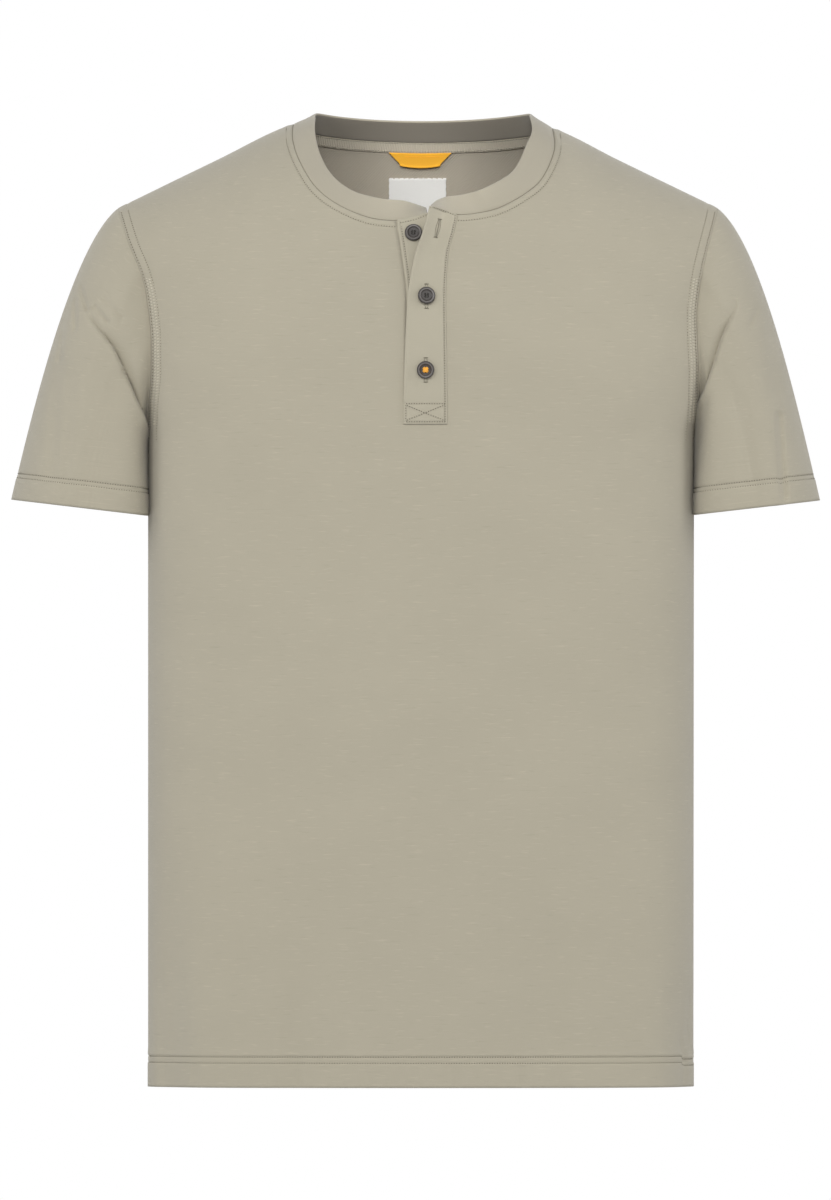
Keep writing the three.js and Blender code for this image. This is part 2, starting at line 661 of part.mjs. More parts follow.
// Where each pair of the band's edge lies along the seam, and the way from the seam to the top edge
function bandEdge(seam, lengths) {
  const rows = BAND_EDGE.map(({ back: behind, x, z, topX, topZ }) => {
    let nearest = Infinity;
    let along = 0;
    for (let k = 1; k < seam.length; k += 1) {
      const a = seam[k - 1].point;
      const b = seam[k].point;
      if ((a.y + b.y > 0) !== behind) continue;
      const run = new THREE.Vector2(b.x - a.x, b.z - a.z);
      const share = clamp(((x - a.x) * run.x + (z - a.z) * run.y) / run.lengthSq(), 0, 1);
      const away = Math.hypot(a.x + share * run.x - x, a.z + share * run.y - z);
      if (away < nearest) {
        nearest = away;
        along = mix(lengths[k - 1], lengths[k], share);
      }
    }
    return { along, x: topX - x, z: topZ - z };
  });
  return rows.sort((a, b) => a.along - b.along).filter((row, k) => k === 0 || row.along - rows[k - 1].along > 1);
}

function neckband() {
  const seam = bandSeam();
  const lengths = [0];
  for (let k = 1; k < seam.length; k += 1) {
    lengths.push(lengths[k - 1] + seam[k].point.distanceTo(seam[k - 1].point));
  }
  const edge = bandEdge(seam, lengths);
  const across = [0, 0.35, 0.7, 1];
  const columns = seam.map(({ point, normal }, k) => {
    const before = seam[Math.max(k - 1, 0)].point;
    const after = seam[Math.min(k + 1, seam.length - 1)].point;
    const run = after.clone().sub(before);
    const beyond = run.clone().cross(normal).normalize();
    const lean = new THREE.Vector3(read(edge, 'along', 'x', lengths[k]), 0, read(edge, 'along', 'z', lengths[k]));
    const inward = Math.sqrt(Math.max(BAND_WIDTH ** 2 - lean.lengthSq(), BAND_LEAST_LEAN ** 2));
    lean.y = inward * clamp(-point.y / BAND_TURN_DEPTH, -1, 1);
    const start = point.clone().addScaledVector(beyond, beyond.dot(lean) < 0 ? -BAND_GAP : BAND_GAP);
    return across.map((share) => start.clone().addScaledVector(lean, share));
  });
  const grid = across.map((_, i) => columns.map((column) => column[i]));
  grid.forEach((row) => row.reverse());
  const normals = facings(grid, false);
  const seamNormals = seam.map(({ normal }) => normal).reverse();
  normals[0].forEach((own, k) => own.copy(seamNormals[k]));
  return wall(grid, BAND_CLOTH, { normals });
}
add('neckband', neckband(), BAND);

// A thin piece on the inside of the back, from rows of x and z and its distance off the cloth
function insidePiece(rows, thickness) {
  const grid = rows.map((row) => row.map(({ x, z, off = 0 }) => {
    return onBody('back', x, z, -(BODY_CLOTH + SEAM_GAP + thickness + off));
  }));
  return wall(grid, thickness);
}

// Tape over the back neck seam
const backSeamZ = (x) => read([...NECK_BACK].reverse(), 'x', 'z', x);
function tapeRows() {
  const cells = 22;
  const rows = [];
  for (const drop of [TAPE_WIDTH + 0.8, 0.8]) {
    const row = [];
    for (let i = 0; i <= cells; i += 1) {
      const x = mix(TAPE_ENDS.right, TAPE_ENDS.left, i / cells);
      row.push({ x, z: backSeamZ(x) - drop, off: 0.1 + TAPE_END_RISE * smoothStep(55, 84, Math.abs(x)) });
    }
    rows.push(row);
  }
  return rows;
}
add('neck_tape', insidePiece(tapeRows(), TAPE_CLOTH), TAPE);

// Hanging loop under the tape: a short flat ribbon, narrower at its foot
function loopRows() {
  const cells = 8;
  return [1, 0.5, 0].map((down) => {
    const row = [];
    for (let i = 0; i <= cells; i += 1) {
      const across = i / cells - 0.5;
      const x = LOOP.centre + across * mix(LOOP.top, LOOP.bottom, down);
      const bow = LOOP.bow * (1 - (2 * across) ** 2) * down;
      row.push({ x, z: backSeamZ(x) - TAPE_WIDTH - 1.2 - LOOP.height * down - bow, off: LOOP.off * down });
    }
    return row;
  });
}
add('hanging_loop', insidePiece(loopRows(), TAPE_CLOTH), ORANGE);

// Neck label: a plain woven patch on the inside of the back
function labelRows() {
  return [1, 0.66, 0.33, 0].map((down) => [-0.5, -0.25, 0, 0.25, 0.5].map((across) => {
    return { x: LABEL.centre + across * LABEL.width, z: LABEL.top - LABEL.height * down };
  }));
}
add('neck_label', insidePiece(labelRows(), TAPE_CLOTH), LABEL_CLOTH);

// Buttons: a disc with a raised rim round a shallow dish, lying on the strip that it closes
function buttonGeometry() {
  const radius = BUTTON_DIAMETER / 2;
  const profile = [
    [0, 0],
    [radius - 0.9, 0],
    [radius, 1],
    [radius - 0.2, BUTTON_THICKNESS - 0.5],
    [radius - 1, BUTTON_THICKNESS],
    [radius - 1.9, BUTTON_THICKNESS - 0.2],
    [radius - 2.5, BUTTON_THICKNESS - 1],
    [0, BUTTON_THICKNESS - 1.1],
  ].map(([across, along]) => new THREE.Vector2(across, along));
  return new THREE.LatheGeometry(profile, 20);
}

function addButton(name, { x, z, rise, tilt = 0 }) {
  const seat = onBody('front', x, z, rise + SEAM_GAP);
  const out = onBody('front', x, z, rise + SEAM_GAP + 1).sub(seat);
  const mesh = add(name, buttonGeometry(), BUTTON);
  out.z += tilt;
  mesh.quaternion.setFromUnitVectors(new THREE.Vector3(0, 1, 0), out.normalize());
  mesh.position.copy(seat);
}
BUTTONS.forEach((spec, i) => addButton(`button_${i + 1}`, spec));

export default shirt;
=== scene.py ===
"""A short-sleeved henley shirt in sage beige jersey, filled out with nobody in it.

Lengths are in millimetres until a mesh is made. X runs to the wearer's left, Y to the back, Z up.
"""

import math

import bpy
import numpy as np
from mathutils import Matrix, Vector


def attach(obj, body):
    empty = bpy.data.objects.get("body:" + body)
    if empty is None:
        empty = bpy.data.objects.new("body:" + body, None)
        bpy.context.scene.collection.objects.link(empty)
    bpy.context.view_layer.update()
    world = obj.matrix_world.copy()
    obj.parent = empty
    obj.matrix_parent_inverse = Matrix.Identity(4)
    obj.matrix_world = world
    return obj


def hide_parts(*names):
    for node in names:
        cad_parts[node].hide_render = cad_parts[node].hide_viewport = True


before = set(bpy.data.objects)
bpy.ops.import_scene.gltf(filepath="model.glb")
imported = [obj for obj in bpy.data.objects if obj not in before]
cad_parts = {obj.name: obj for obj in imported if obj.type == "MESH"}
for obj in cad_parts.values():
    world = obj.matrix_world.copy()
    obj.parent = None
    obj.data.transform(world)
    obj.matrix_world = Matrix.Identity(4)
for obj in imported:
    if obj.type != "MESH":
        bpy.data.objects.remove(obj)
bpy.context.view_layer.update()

FOOT = -218.0
BOX_FOOT = -226.0
UNDERARM = -235.0
HEM = -721.5
CLOTH = 1.0

# Tables of the form

# z, how far out the edge is on the right and the left, how far out on the full section it lies
EDGE = np.array([
    (-721.5, 205, 204.7, 1), (-235, 205, 205.2, 1), (-218, 204.4, 206.8, 0.99),
    (-205, 203.4, 207.6, 0.98), (-186, 201.9, 207.8, 0.966), (-165, 201.8, 206.8, 0.955),
    (-145, 203.3, 206.3, 0.95), (-124, 206.4, 208.4, 0.94), (-109, 210.8, 211, 0.925),
    (-89, 219, 215.8, 0.922), (-70, 225, 220.8, 0.918), (-63, 227, 222.3, 0.915),
]).T
# z, how far the front and the back stand out
DEPTH = np.array([(-721.5, 107, 97), (-480, 111, 98), (-200, 113, 101), (20, 112, 100)]).T
# x and z of the shoulder line
RIDGE = np.array([
    (-227, -63), (-153, -27), (-96, 0), (-60, 9), (0, 12), (60, 8), (99, -3), (148, -27), (222.3, -63),
]).T
# distance from the middle, drop over which the shoulder rounds over
ROUNDING = np.array([(0, 200), (100, 190), (230, 150)]).T
# z, the slot's right and left edge
SLOT = np.array([(-218, -11, 18), (-131, -10.7, 16.7), (-95, -14.7, 18.7), (-68, -19, 27)]).T
# x and z of the neck seam in front on each side, and at the back
NECK_RIGHT = [(-96, 0), (-96.2, -12), (-91, -28), (-78.8, -48), (-61.5, -61.5), (-39, -71), (-19, -73.5)]
NECK_LEFT = [(99, -3), (100, -20), (91, -41), (78, -53), (58, -64), (40, -68), (27, -69)]
NECK_BACK = [(99, -3), (81, -7.2), (45, -10.7), (1.5, -11.8), (-42, -10.2), (-78, -6), (-96, 0)]
# x and z of the under strip's top; z, free and sewn edge of the upper strip, how far it is turned out
UNDER_TOP = np.array([(-18.7, -73.5), (-4.5, -70.5), (4.5, -67.5), (26, -77)]).T
UPPER = np.array([
    (-226, -13.2, 19.6, 0), (-210, -13.1, 19.6, 0), (-171, -12, 19.2, 0), (-131, -10, 18.6, 1.2),
    (-102, -5, 20, 5.5), (-79, 3, 25.2, 10), (-63, 7.2, 28.6, 13),
]).T
UPPER_TOP = (-63.2, -69.4)

# side, x, width, depth, top of each soft upright trough in the lower body
BODY_FOLDS = [
    (-1, -187, 13, 9, -520), (-1, -94, 11, 3.2, -600), (-1, 96, 14, 3, -560), (-1, 199, 11, 8.5, -600),
    (1, -120, 20, 5, -430), (1, -28, 26, 3.5, -380), (1, 74, 22, 4.5, -450), (1, 152, 15, 4, -520),
]
# x of the cuff's outer and inner end, z of each
SLEEVES = {-1: (307, 204.8, -281.7, -293.8), 1: (299, 204.8, -282.3, -293.2)}
CUFF_DEPTH = 62
# z, x, depth of the fold from the front of each sleeve down to the underarm
SLEEVE_FOLDS = {
    -1: np.array([
        (-241, 203, 8), (-226.5, 206, 11), (-207, 214.5, 10.5), (-196.5, 218.5, 9.5), (-185, 223.5, 8.8),
        (-168.8, 231, 7.6), (-162, 236, 6.6), (-148.5, 246, 3.8), (-138, 251, 0.8),
    ]).T,
    1: np.array([
        (-241, 204, 7), (-217, 206, 10), (-200, 213, 9), (-184, 218.5, 7), (-160, 226, 5.5), (-138, 236, 3),
    ]).T,
}
# front (0) or back (1), x and z of the neck seam, x and z of the band's top edge over it
BAND_PAIRS = [
    (0, 4.6, -67.5, 3.8, -63.2), (0, -8, -71.3, -7, -59.3), (0, -18.8, -73.5, -17.5, -57.6),
    (0, -39, -71, -34, -55.6), (0, -61.5, -61.5, -51, -50.4), (0, -78.8, -48, -65.5, -39.5),
    (0, -91, -28, -74.5, -24.5), (0, -96.2, -12, -79.3, -7), (0, -96, 0, -79.5, 6.5),
    (1, -88, -3.4, -76.5, 8.6), (1, -78, -6, -68, 7.4), (1, -42, -10.2, -38, 4.4), (1, 1.5, -11.8, 1.5, 3.2),
    (1, 45, -10.7, 41, 4.4), (1, 81, -7.2, 71, 7.2), (1, 91, -5, 80, 8.6),
    (0, 99, -3, 81.8, 7), (0, 100, -15, 83.3, -4), (0, 98.5, -28, 79, -18), (0, 91, -41, 71.5, -32),
    (0, 78, -53, 62, -41), (0, 58, -64, 46, -49.5), (0, 40, -68, 33, -53), (0, 27, -69, 23.5, -54.6),
    (0, 15, -66.4, 13.5, -58), (0, 7.2, -63.2, 8.3, -61.3),
]
BAND_WIDTH = 18


def read(table, column, at):
    """A column of a table read smoothly, without overshoot, at a place between its rows."""
    keys, values = table[0], table[column]
    at = np.clip(np.asarray(at, float), keys[0], keys[-1])
    slopes = np.diff(values) / np.diff(keys)
    tangents = np.concatenate([slopes[:1], np.zeros(len(keys) - 2), slopes[-1:]])
    product, total = slopes[:-1] * slopes[1:], slopes[:-1] + slopes[1:]
    tangents[1:-1] = np.where(product > 0, 2 * product / np.where(total == 0, 1, total), 0)
    i = np.clip(np.searchsorted(keys, at, side="left") - 1, 0, len(keys) - 2)
    span = keys[i + 1] - keys[i]
    t = (at - keys[i]) / span
    ease = span * (t * (1 - t) ** 2 * tangents[i] - t * t * (1 - t) * tangents[i + 1])
    return values[i] + (values[i + 1] - values[i]) * t * t * (3 - 2 * t) + ease


def smooth(low, high, value):
    t = np.clip((value - low) / (high - low), 0, 1)
    return t * t * (3 - 2 * t)


def mix(a, b, share):
    return a + (b - a) * share


def bell(value, width):
    return np.exp(-((value / width) ** 2))


def steps(start, *spans):
    """Numbers from a start on, evenly spaced in each span up to its end, by its count of cells."""
    values = [start]
    for end, cells in spans:
        values.extend(np.linspace(values[-1], end, cells + 1)[1:])
    return np.array(values)


def unit(v):
    return v / np.maximum(np.linalg.norm(v, axis=-1, keepdims=True), 1e-9)


def paired(x, z):
    return np.broadcast_arrays(np.asarray(x, float), np.asarray(z, float))


def join(*parts):
    return np.stack(parts, -1)


def edge_x(side, z):
    return side * read(EDGE, 1 if side < 0 else 2, z)


def edge_at(x, z):
    return np.where(x < 0, read(EDGE, 1, z), read(EDGE, 2, z))


def stand_off(side, x, z):
    """How far the front (-1) or back (1) stands off the plane of the side seams."""
    x, z = paired(x, z)
    across = np.clip(np.abs(x) * read(EDGE, 3, z) / edge_at(x, z), 0, 1)
    section = np.cbrt(1 - across**3)
    share = np.clip((read(RIDGE, 1, x) - z) / read(ROUNDING, 1, np.abs(x)), 0, 1)
    full = read(DEPTH, 1 if side < 0 else 2, z) * section * np.sqrt(1 - (1 - share) ** 2)
    folds = sum(
        depth * bell(x - place, width) * smooth(top, HEM, z)
        for where, place, width, depth, top in BODY_FOLDS
        if where == side
    )
    return np.maximum(full - folds * np.minimum(1, full / 40), 0)


def on_body(side, x, z, lift=0.0):
    """A point on the front or back as the pattern gives it, and the direction out of the cloth."""
    x, z = paired(x, z)
    step = 1.5
    slope_x = (stand_off(side, x + step, z) - stand_off(side, x - step, z)) / (2 * step)
    slope_z = (stand_off(side, x, z + step) - stand_off(side, x, z - step)) / (2 * step)
    out = unit(join(-slope_x, np.full_like(x, side), -slope_z))
    point = join(x, side * stand_off(side, x, z), z)
    return point + out * np.asarray(lift)[..., None], out


def spline(rows, per_span=60):
    """A smooth line through points, as a fine polyline."""
    p = np.array(rows, float)
    last = len(p) - 1
    parts = []
    for i in range(last):
        p0, p1, p2, p3 = p[max(i - 1, 0)], p[i], p[i + 1], p[min(i + 2, last)]
        v0, v1 = (p2 - p0) / 2, (p3 - p1) / 2
        t = np.linspace(0, 1, per_span, endpoint=False)[:, None]
        cubic, square = 2 * p1 - 2 * p2 + v0 + v1, -3 * p1 + 3 * p2 - 2 * v0 - v1
        parts.append(cubic * t**3 + square * t**2 + v0 * t + p1)
    return np.vstack([*parts, p[-1:]])


def lengths(line):
    return np.concatenate([[0], np.cumsum(np.linalg.norm(np.diff(line, axis=0), axis=1))])


def at_lengths(line, places, by=None):
    """Points of a polyline at given lengths along it (or along another line with as many points)."""
    run = lengths(line if by is None else by)
    return np.stack([np.interp(places, run, line[:, k]) for k in range(line.shape[1])], -1)


def spaced(side, rows, cells):
    """Points spaced evenly along a line drawn on the body, through a table of its x and z."""
    fine = spline(rows)
    body = on_body(side, fine[:, 0], fine[:, 1])[0]
    return at_lengths(fine, np.linspace(0, lengths(body)[-1], cells + 1), by=body)


# Small relief: hem, seams, creases

neck_front = [spline(NECK_RIGHT, 20), spline(NECK_LEFT, 20)]
neck_back = spline(NECK_BACK, 20)
HEM_STITCHES = (-698.4, -703.0)
NECK_STITCH = 4.6
ARM_STITCH = 7.0


def distance_to(line, x, z):
    best = np.full(np.shape(x), 1e9)
    for a, b in zip(line[:-1], line[1:]):
        d = b - a
        t = np.clip(((x - a[0]) * d[0] + (z - a[1]) * d[1]) / max(d @ d, 1e-9), 0, 1)
        best = np.minimum(best, np.hypot(x - a[0] - t * d[0], z - a[1] - t * d[1]))
    return best


def hem_shift(side, x):
    """The hem's stitching steps down beside the wearer's left side seam, at the crease there."""
    return np.where(side < 0, -2.3 * smooth(195, 197.5, x), 0)


# side, x and z where a small crease starts and ends, width, depth
CREASES = [
    (-1, 194.2, -686, 197.6, -703, 1.6, 1.1),
    (-1, 197.6, -703, 196.4, -722, 2.4, 0.9),
    (-1, 201.5, -655, 199.5, -690, 2.2, 0.7),
    (-1, -196, -640, -193, -716, 4, 0.9),
    (-1, -60, -95, -88, -120, 7, 0.5),
    (-1, 96, -88, 126, -118, 8, 0.5),
    (-1, -184, -196, -150, -232, 9, 0.9),
    (-1, 186, -200, 154, -238, 9, 0.9),
    (-1, -168, -706, -169.5, -720, 1.6, 0.9),
    (-1, -112, -706, -111, -720, 2.6, 0.5),
    (-1, -90, -705, -91, -719, 1.8, 0.8),
    (-1, 24, -707, 25, -719, 2.5, 0.6),
    (-1, 73.5, -706, 74.5, -719, 1.6, 0.9),
    (1, -182, -190, -140, -236, 10, 1.3),
    (1, 184, -196, 138, -240, 10, 1.3),
    (1, -60, -40, -96, -84, 12, 0.8),
    (1, 64, -42, 98, -88, 12, 0.8),
    (1, 190, -640, 196, -716, 4, 1),
]


def relief(side, x, z):
    """How far the cloth stands proud of the plain form, or sinks below it."""
    x, z = paired(x, z)
    high = np.zeros(x.shape)
    shift = hem_shift(side, x)
    high += 0.35 * smooth(-701.7, -703.7, z - shift)
    for row in HEM_STITCHES:
        high -= 0.42 * bell(z - row - shift, 0.75)
    high += 0.3 * bell(z - HEM_STITCHES[0] - 1.7 - shift, 1.2)
    for where, x0, z0, x1, z1, width, depth in CREASES:
        if where == side:
            line = np.array([(x0, z0), (x1, z1)], float)
            high -= depth * bell(distance_to(line, x, z), width)
    near = z > -110
    for line in neck_front if side < 0 else [neck_back]:
        away = distance_to(line, np.where(near, x, 1e4), z)
        stitched = away - NECK_STITCH
        high += 0.4 * smooth(0.6, -0.8, stitched) - 0.42 * bell(stitched, 0.7) - 0.85 * bell(away, 0.75)
    inside = edge_at(x, z) - np.abs(x)
    arm = smooth(-246, -236, z)
    stitched = inside - ARM_STITCH
    row = 0.16 * smooth(0.7, -0.7, stitched) - 0.35 * bell(stitched, 0.7)
    high += arm * (row - 0.25 * bell(inside - 1.3, 0.5)) - 0.4 * bell(inside, 0.8) * (1 - 0.6 * arm)
    if side < 0:
        around = distance_to(np.array([(-13.6, -226.6), (-13.6, -131), (-6, -102)]), x, z)
        high -= 0.2 * bell(around, 1.0)
    middle = smooth(205, 160, np.abs(x))
    high += 0.30 * np.sin(x / 31 + 1.7 * np.sin(z / 190)) * smooth(-260, -420, z) * middle
    high += 0.22 * np.sin(x / 17.3 + 2.1 * np.sin(z / 130) + 1) * smooth(-300, -460, z) * middle
    return high


# Meshes


def put(name, data, place=(0, 0, 0), aim=None):
    """A new object in the scene, turned from its place towards another if that is given."""
    obj = bpy.data.objects.new(name, data)
    bpy.context.scene.collection.objects.link(obj)
    obj.location = place
    if aim:
        obj.rotation_mode = "QUATERNION"
        obj.rotation_quaternion = (Vector(aim) - Vector(place)).to_track_quat("-Z", "Y")
    return obj


def make(name, points, faces, uv, materials, index=None, node=None):
    """A smooth mesh from points in millimetres, standing for the named node if there is one."""
    mesh = bpy.data.meshes.new(name)
    faces = np.asarray(faces, dtype=np.int32)
    sides = faces.shape[1]
    mesh.vertices.add(len(points))
    mesh.vertices.foreach_set("co", (np.asarray(points) / 1000).astype(np.float32).ravel())
    mesh.loops.add(faces.size)
    mesh.loops.foreach_set("vertex_index", faces.ravel())
    mesh.polygons.add(len(faces))
    mesh.polygons.foreach_set("loop_start", np.arange(0, faces.size, sides, dtype=np.int32))
    mesh.polygons.foreach_set("use_smooth", np.ones(len(faces), dtype=bool))
    if index is not None:
        mesh.polygons.foreach_set("material_index", np.asarray(index, dtype=np.int32))
    if uv is not None:
        layer = mesh.uv_layers.new(name="cloth")
        layer.data.foreach_set("uv", (uv[faces.ravel()] / 1000).astype(np.float32).ravel())
    mesh.update(calc_edges=True)
    for material in materials:
        mesh.materials.append(material)
    obj = put(name + "_look" if node else name, mesh)
    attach(obj, "root")
    if node:
        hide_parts(node)
    return obj


def facings(grid, closed=False):
    across = np.roll(grid, -1, 1) - np.roll(grid, 1, 1) if closed else np.gradient(grid, axis=1)
    return unit(np.cross(across, np.gradient(grid, axis=0)))


def shell(name, grid, normals, thickness, uv, outer, inside, closed=False, keep=None):
    """A thin closed sheet: the grid, the same grid moved in, and the rims between them."""
    rows, columns = grid.shape[:2]
    cells = columns if closed else columns - 1
    count = rows * columns
    points = np.vstack([grid.reshape(-1, 3), (grid - normals * thickness).reshape(-1, 3)])
    i, j = np.meshgrid(np.arange(rows - 1), np.arange(cells), indexing="ij")
    n = (j + 1) % columns
    a, b, c, d = i * columns + j, i * columns + n, (i + 1) * columns + n, (i + 1) * columns + j
    kept = np.ones(i.shape, bool) if keep is None else keep(i, j)
    pad = np.zeros((rows + 1, cells + 2), bool)
    pad[1:-1, 1:-1] = kept
    if closed:
        pad[1:-1, 0], pad[1:-1, -1] = kept[:, -1], kept[:, 0]
    below, above = kept & ~pad[:-2, 1:-1], kept & ~pad[2:, 1:-1]
    left, right = kept & ~pad[1:-1, :-2], kept & ~pad[1:-1, 2:]
    quads = [
        join(a, b, c, d)[kept],
        join(d, c, b, a)[kept] + count,
        join(b, a, a + count, b + count)[below],
        join(d, c, c + count, d + count)[above],
        join(a, d, d + count, a + count)[left],
        join(c, b, b + count, c + count)[right],
    ]
    faces = np.vstack(quads)
    index = np.zeros(len(faces), int)
    index[len(quads[0]) : len(quads[0]) + len(quads[1])] = 1
    uvs = np.vstack([uv.reshape(-1, 2), uv.reshape(-1, 2)])
    used = np.unique(faces)
    place = np.zeros(len(points), int)
    place[used] = np.arange(len(used))
    return make(name, points[used], place[faces], uvs[used], [outer, inside], index, name)


def up_columns(grid):
    """Lengths up the columns of a grid from its first row."""
    return np.pad(np.cumsum(np.linalg.norm(np.diff(grid, axis=0), axis=2), 0), ((1, 0), (0, 0)))


def grid_uv(grid, middle=None):
    """Cloth coordinates of a grid in millimetres: along its rows and up its columns."""
    along = up_columns(grid.transpose(1, 0, 2)).T
    if middle is not None:
        along = along - along[:, middle : middle + 1]
    return join(along, up_columns(grid))


def tubes(name, starts, ends, outs, radius, material, slot, sink=0.35, bow=0.35):
    """Many short rounded threads, each from a start to an end, their ends sunk in the cloth."""
    starts, ends, outs = (np.asarray(v, float) for v in (starts, ends, outs))
    t = np.array([0, 0.22, 0.78, 1.0])
    girth = np.array([0.45, 1, 1, 0.45])
    rise = np.array([-sink, bow, bow, -sink])
    run = unit(ends - starts)
    side = unit(np.cross(run, outs))
    out = np.cross(side, run)
    centre = starts[:, None] + (ends - starts)[:, None] * t[None, :, None]
    centre = centre + out[:, None] * (rise * radius)[None, :, None]
    corners = np.arange(4) * math.pi / 2
    ring = side[:, None] * np.cos(corners)[None, :, None] + out[:, None] * np.sin(corners)[None, :, None]
    points = centre[:, :, None] + ring[:, None] * (girth * radius)[None, :, None, None]
    around = ((0, 1), (1, 2), (2, 3), (3, 0))
    base = [(r + k, r + n, r + 4 + n, r + 4 + k) for r in (0, 4, 8) for k, n in around]
    base += [(3, 2, 1, 0), (12, 13, 14, 15)]
    faces = (np.array(base)[None] + (np.arange(len(starts)) * 16)[:, None, None]).reshape(-1, 4)
    flat = points.reshape(-1, 3)
    return make(name, flat, faces, flat[:, [0, 2]], [material])


def run_stitches(line, outs, pitch, length):
    """Starts, ends and directions of a row of stitches along a line on the cloth."""
    s = np.arange(0, lengths(line)[-1] - length, pitch)
    a, b = at_lengths(line, s), at_lengths(line, s + length)
    return a, b, unit(at_lengths(outs, s + length / 2, by=line))


def needle_hole_shade(line, outs, pitch, length):
    """Painted shade in the gaps between the stitches of a row, where the needle holes lie."""
    s = np.arange(0, lengths(line)[-1] - length, pitch) + length
    a, b = at_lengths(line, s + 0.02), at_lengths(line, s + pitch - length - 0.02)
    return a, b, unit(at_lengths(outs, s, by=line))


def body_line(side, x, z):
    """A line on the finished front or back through points of x and z, about a millimetre apart."""
    p = join(x, z)
    whole = lengths(p)[-1]
    x, z = at_lengths(p, np.linspace(0, whole, max(int(whole), 8))).T
    return on_body(side, x, z, relief(side, x, z))


# Materials

WALE, COURSE = 1.0, 0.8


def node(tree, kind, **settings):
    made = tree.nodes.new("ShaderNode" + kind)
    for key, value in settings.items():
        setattr(made, key, value)
    return made


def fill(made, values):
    for socket, value in values.items():
        made.inputs[socket].default_value = value


def cloth_material(name, colour, fleck=0.13, bump=0.10, diagonal=False, ribs=0.0, sheen=0.3):
    """Jersey: fine loops in relief, short slubs along the courses, and a little unevenness of colour."""
    material = bpy.data.materials.new(name)
    material.use_nodes = True
    tree = material.node_tree
    tree.nodes.clear()
    link = tree.links.new
    out = node(tree, "OutputMaterial")
    shader = node(tree, "BsdfPrincipled")
    link(shader.outputs[0], out.inputs[0])
    fill(shader, {"Roughness": 0.92, "Specular IOR Level": 0.15})
    fill(shader, {"Sheen Weight": sheen, "Sheen Roughness": 0.6})
    place = node(tree, "UVMap", uv_map="cloth")

    def noise(scale_u, scale_v, detail, rough):
        stretch = node(tree, "Mapping")
        fill(stretch, {"Scale": (scale_u, scale_v, 1)})
        link(place.outputs[0], stretch.inputs[0])
        made = node(tree, "TexNoise")
        fill(made, {"Scale": 1, "Detail": detail, "Roughness": rough})
        link(stretch.outputs[0], made.inputs["Vector"])
        return made.outputs["Fac"]

    def ramp(source, low, high, low_value, high_value):
        made = node(tree, "MapRange")
        for socket, value in zip(made.inputs[1:5], (low, high, low_value, high_value)):
            socket.default_value = value
        link(source, made.inputs[0])
        return made.outputs[0]

    def math_node(operation, a, b):
        made = node(tree, "Math", operation=operation)
        for socket, value in zip(made.inputs, (a, b)):
            if isinstance(value, (int, float)):
                socket.default_value = value
            else:
                link(value, socket)
        return made.outputs[0]

    light = ramp(noise(75, 760, 2, 0.5), 0.6, 0.76, 1, 1 + fleck)
    dark = ramp(noise(60, 700, 2, 0.5), 0.62, 0.78, 1, 1 - 0.7 * fleck)
    broad = ramp(noise(9, 16, 3, 0.6), 0.3, 0.7, 0.98, 1.02)
    yarn = ramp(noise(2600, 1500, 2, 0.6), 0.25, 0.75, 0.965, 1.035)
    tone = math_node("MULTIPLY", math_node("MULTIPLY", light, dark), math_node("MULTIPLY", broad, yarn))

    split = node(tree, "SeparateXYZ")
    link(place.outputs[0], split.inputs[0])
    u, v = split.outputs[0], split.outputs[1]

    def wave(expression, pitch_mm):
        return math_node("SINE", math_node("MULTIPLY", expression, 2 * math.pi * 1000 / pitch_mm), 0)

    if diagonal:
        height = wave(math_node("ADD", u, v), 2.2)
        tone = math_node("MULTIPLY", tone, ramp(height, -1, 1, 0.955, 1.03))
    elif ribs:
        height = wave(u, ribs)
        tone = math_node("MULTIPLY", tone, ramp(height, -1, 1, 0.95, 1.04))
    else:
        height = math_node("MULTIPLY", wave(u, WALE), wave(v, COURSE))
    tint = node(tree, "VectorMath", operation="SCALE")
    fill(tint, {0: colour})
    link(tone, tint.inputs["Scale"])
    link(tint.outputs[0], shader.inputs["Base Color"])
    grain = math_node("ADD", height, math_node("MULTIPLY", noise(1800, 1800, 3, 0.7), 1.4))
    relief_node = node(tree, "Bump")
    fill(relief_node, {"Strength": 0.6, "Distance": bump / 1000})
    link(grain, relief_node.inputs["Height"])
    link(relief_node.outputs[0], shader.inputs["Normal"])
    return material


def plain_material(name, colour, roughness, specular=0.3, sheen=0.0):
    material = bpy.data.materials.new(name)
    material.use_nodes = True
    shader = material.node_tree.nodes["Principled BSDF"]
    fill(shader, {"Base Color": (*colour, 1), "Roughness": roughness})
    fill(shader, {"Specular IOR Level": specular, "Sheen Weight": sheen})
    return material


jersey = cloth_material("jersey", (0.437, 0.401, 0.311))
# the reverse knit's own diagonal texture, its colour lightened above the outside's as painted light inside
# the neck
inner = cloth_material("jersey inside lightened", (0.47, 0.421, 0.337), diagonal=True, bump=0.14, fleck=0.02)
strip_cloth = cloth_material("strip", (0.452, 0.417, 0.324), fleck=0.03)
band_cloth = cloth_material("band", (0.43, 0.393, 0.308), fleck=0.03)
# the band's inside is the same cloth, painted darker as shade inside the neck
band_inside_painted_shade = cloth_material("band inside painted shade", (0.215, 0.192, 0.153), fleck=0.02)
tape_cloth = cloth_material("tape", (0.66, 0.6, 0.478), ribs=1.9, bump=0.2, fleck=0.02)
orange_cloth = cloth_material("orange ribbon", (1.0, 0.5, 0.04), ribs=1.2, bump=0.05, fleck=0.01, sheen=0.1)
label_cloth = cloth_material("label", (0.93, 0.92, 0.885), ribs=0.8, bump=0.05, fleck=0.02, sheen=0.05)
thread = plain_material("thread", (0.54, 0.50, 0.40), 0.7, 0.3, 0.2)
thread_light = plain_material("light thread", (0.68, 0.64, 0.53), 0.65, 0.3, 0.2)
